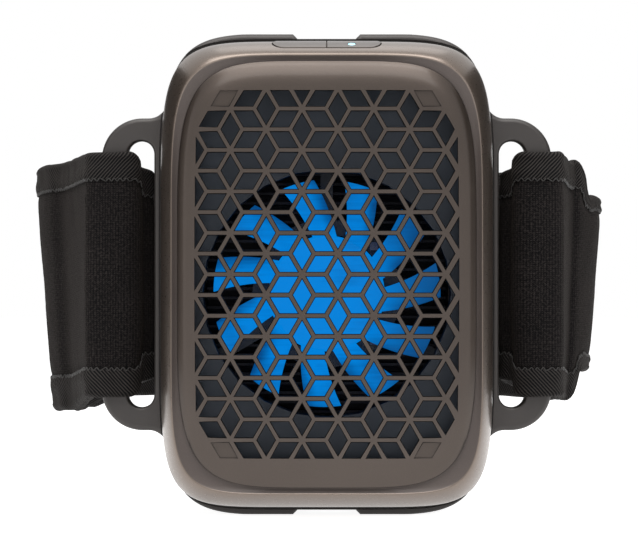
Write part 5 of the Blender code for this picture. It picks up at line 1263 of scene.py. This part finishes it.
def makePatch(name, centre, spread, grown, node):
    rings = []
    for step in range(patches["steps"] + 1):
        degrees = centre + spread * (2 * step / patches["steps"] - 1)
        here, ahead = (Vector(loopAt(place, grown)).xy for place in (degrees, degrees + 0.5))
        spot = Spot(here, (ahead - here).normalized(), 0.0, step * patches["step"])
        ring = []
        for face in (1, -1):
            for row in range(patches["rows"] + 1):
                height = patches["halfHeight"] * (2 * row / patches["rows"] - 1) * face
                edge = min(1.0, (patches["halfHeight"] - abs(height)) / patches["edge"])
                offset = face * patches["thick"] / 2 * (1 - patches["edgeThin"] + patches["edgeThin"] * edge)
                ring.append((strapPoint(spot, offset, height), (spot.run, height, face * strap["faceMark"])))
        rings.append(ring)
    piece = clothPiece(name, rings, finishes["hook"], node)


makeBand()
makeHem("hemTop", 1, "strap_binding_top")
makeHem("hemBottom", -1, "strap_binding_bottom")
makeStitches()
makePatch("flapHooks", 0.0, strap["flapEnd"] / 2, strap["pitch"] / 2, "flap_hook_patch")
makePatch("tailHooks", 180 + strap["tailEnd"] + patches["seam"], patches["seam"], -strap["pitch"] / 2,
          "tail_hook_patch")
print("strap ready:", round(strapLength * 1000), "mm long")


# finishes of the pieces that keep their shape
slotFinish = {"circuit_board": "board", "chip_black": "chip", "shroud_plastic": "shroud", "steel": "steel",
              "fan_plastic": "fanPlastic", "magnet": "magnet", "bearing_brass": "brass", "stator": "magnet",
              "lamp": "chipLight", "sink_black": "sink", "silicone": "silicone", "ceramic_white": "ceramic",
              "leg_alloy": "alloy", "bare_aluminium": "aluminium", "plate_aluminium": "plate",
              "rear_plastic": "rear", "cell_wrap": "cell", "port_steel": "port"}
kept = {"weld": 0.00001, "sharp": math.radians(32), "bevelled": math.radians(38),
        "soft": {"treatment_plate": 0.0003, "charging_port": 0.00008}}


def smoothNodes():  # smooth shading with sharp edges kept, as a modifier
    group = bpy.data.node_groups.new("smoothEdges", 'GeometryNodeTree')
    for side in ('INPUT', 'OUTPUT'):
        group.interface.new_socket("Geometry", in_out=side, socket_type='NodeSocketGeometry')
    start = Signal(group)
    mesh = start.add("NodeGroupInput")
    faces = start.add("GeometryNodeSetShadeSmooth", {"domain": 'FACE'},
                      {"Geometry": mesh, "Shade Smooth": True})
    angle = start.add("GeometryNodeInputMeshEdgeAngle")
    sharp = start.add("FunctionNodeCompare", {"operation": 'GREATER_THAN'}, {0: angle, 1: kept["sharp"]})
    edges = start.add("GeometryNodeSetShadeSmooth", {"domain": 'EDGE'},
                      {"Geometry": faces, "Selection": sharp, "Shade Smooth": False})
    group.links.new(edges.socket, group.nodes.new("NodeGroupOutput").inputs[0])
    return group


def dressNodes():
    smoothEdges = smoothNodes()
    dressed = 0
    for part in frame["record"]["subparts"]:
        name = part["node"]
        finish = "fanPlastic" if name == "light_ring" else slotFinish.get(part["material_slot"])
        if not finish:
            continue
        obj = frame["nodes"][name]
        obj.data.materials.clear()
        obj.data.materials.append(finishes[finish])
        obj.modifiers.new("weld", 'WELD').merge_threshold = kept["weld"]
        if name in kept["soft"]:
            bevel = obj.modifiers.new("edges", 'BEVEL')
            bevel.width, bevel.segments = kept["soft"][name], 2
            bevel.limit_method, bevel.angle_limit = 'ANGLE', kept["bevelled"]
        obj.modifiers.new("smooth", 'NODES').node_group = smoothEdges
        dressed += 1
    print("nodes dressed:", dressed)


dressNodes()


# floor, white surroundings and lamps
studio = {"floor": 6.0, "floorDark": shade(228, 228, 228), "floorLight": shade(234, 234, 234),
          "floorGlow": 0.90, "worldLight": 0.29}
cards = {"away": 0.45, "halfThick": 0.002, "front": -0.30, "back": 0.90, "low": 0.0, "high": 0.42,
         "dark": shade(24, 23, 23), "light": shade(34, 33, 33)}
lamps = [  # name, place, target, width, height, power, colour
    ("topBox", (-0.02, -0.16, 0.60), (0.0, -0.03, 0.06), 0.50, 0.34, 2.0, (1.0, 0.98, 0.96)),
    ("frontBox", (0.0, -0.54, 0.62), (0.0, -0.05, 0.08), 0.56, 0.46, 2.9, (1.0, 0.98, 0.96)),
    ("leftBox", (-0.62, -0.30, 0.14), (-0.03, -0.03, 0.05), 0.20, 0.44, 0.8, (1.0, 0.99, 0.98)),
    ("rightBox", (0.62, -0.20, 0.16), (0.03, -0.03, 0.05), 0.20, 0.44, 1.1, (0.98, 0.99, 1.0)),
    ("backBox", (0.03, 0.40, 0.72), (0.0, -0.03, 0.09), 0.42, 0.26, 0.35, (1.0, 0.98, 0.96)),
]


def emptied(tree):
    for made in list(tree.nodes):
        tree.nodes.remove(made)
    return Signal(tree)


def seenBy(start, *kinds):  # 1 for these kinds of ray, and 0 for the others
    seen = start.add("ShaderNodeLightPath", None, None, "Is Camera Ray")
    rays = seen.socket.node.outputs
    for kind in kinds:
        seen = seen.math("MAXIMUM", seen, Signal(start.tree, rays[kind]))
    return seen


def toOutput(start, signal, kind):
    output = start.tree.nodes.new(kind)
    start.tree.links.new(signal.socket, output.inputs["Surface"])


def makeFloor():
    rest()
    bpy.ops.mesh.primitive_plane_add(size=studio["floor"])
    floor = bpy.context.object
    floor.name = "studioFloor"
    made = bpy.data.materials.new("paleFloor")
    made.use_nodes = True
    start = emptied(made.node_tree)
    speck = start.add("ShaderNodeTexCoord", None, None, "Object").noise(30)
    colour = speck.blend(studio["floorDark"], studio["floorLight"])
    matt = start.add("ShaderNodeBsdfDiffuse", None, {"Color": colour})
    seen = seenBy(start, "Is Glossy Ray")
    glowing = start.add("ShaderNodeEmission", None, {"Strength": seen * studio["floorGlow"]})
    toOutput(start, start.add("ShaderNodeAddShader", None, {0: matt, 1: glowing}), "ShaderNodeOutputMaterial")
    floor.data.materials.append(made)


def makeWorld():
    world = bpy.data.worlds.new("whiteStudio")
    bpy.context.scene.world = world
    world.use_nodes = True
    start = emptied(world.node_tree)
    direct = seenBy(start, "Is Glossy Ray", "Is Transmission Ray")
    strength = direct * (1 - studio["worldLight"]) + studio["worldLight"]
    white = start.add("ShaderNodeBackground", None, {"Color": (1, 1, 1, 1), "Strength": strength})
    toOutput(start, white, "ShaderNodeOutputWorld")


def makeCards():  # dark cards beside the object, seen in its reflections alone
    made, place = newFinish("darkCard", {})
    felt = place.noise(60)
    wire(made, Base_Color=felt.blend(cards["dark"], cards["light"]), Roughness=felt * 0.1 + 0.85)
    for side in (-1, 1):
        middle = side * cards["away"]
        card = blockTool((middle - cards["halfThick"], cards["front"], cards["low"]),
                         (middle + cards["halfThick"], cards["back"], cards["high"]))
        card.name = "leftCard" if side < 0 else "rightCard"
        card.data.materials.append(made)
        card.visible_camera = card.visible_diffuse = card.visible_shadow = card.visible_transmission = False


def makeLamps():
    for name, place, target, width, height, power, colour in lamps:
        rest()
        bpy.ops.object.light_add(type='AREA', location=place)
        lamp = bpy.context.object
        lamp.name = name
        lamp.data.shape = 'RECTANGLE'
        lamp.data.size, lamp.data.size_y = width, height
        lamp.data.energy, lamp.data.color = power, colour
        lamp.rotation_euler = (Vector(target) - Vector(place)).to_track_quat('-Z', 'Y').to_euler()


makeFloor()
makeWorld()
makeLamps()
makeCards()
bpy.context.scene.view_settings.view_transform = 'Standard'
print("studio ready")
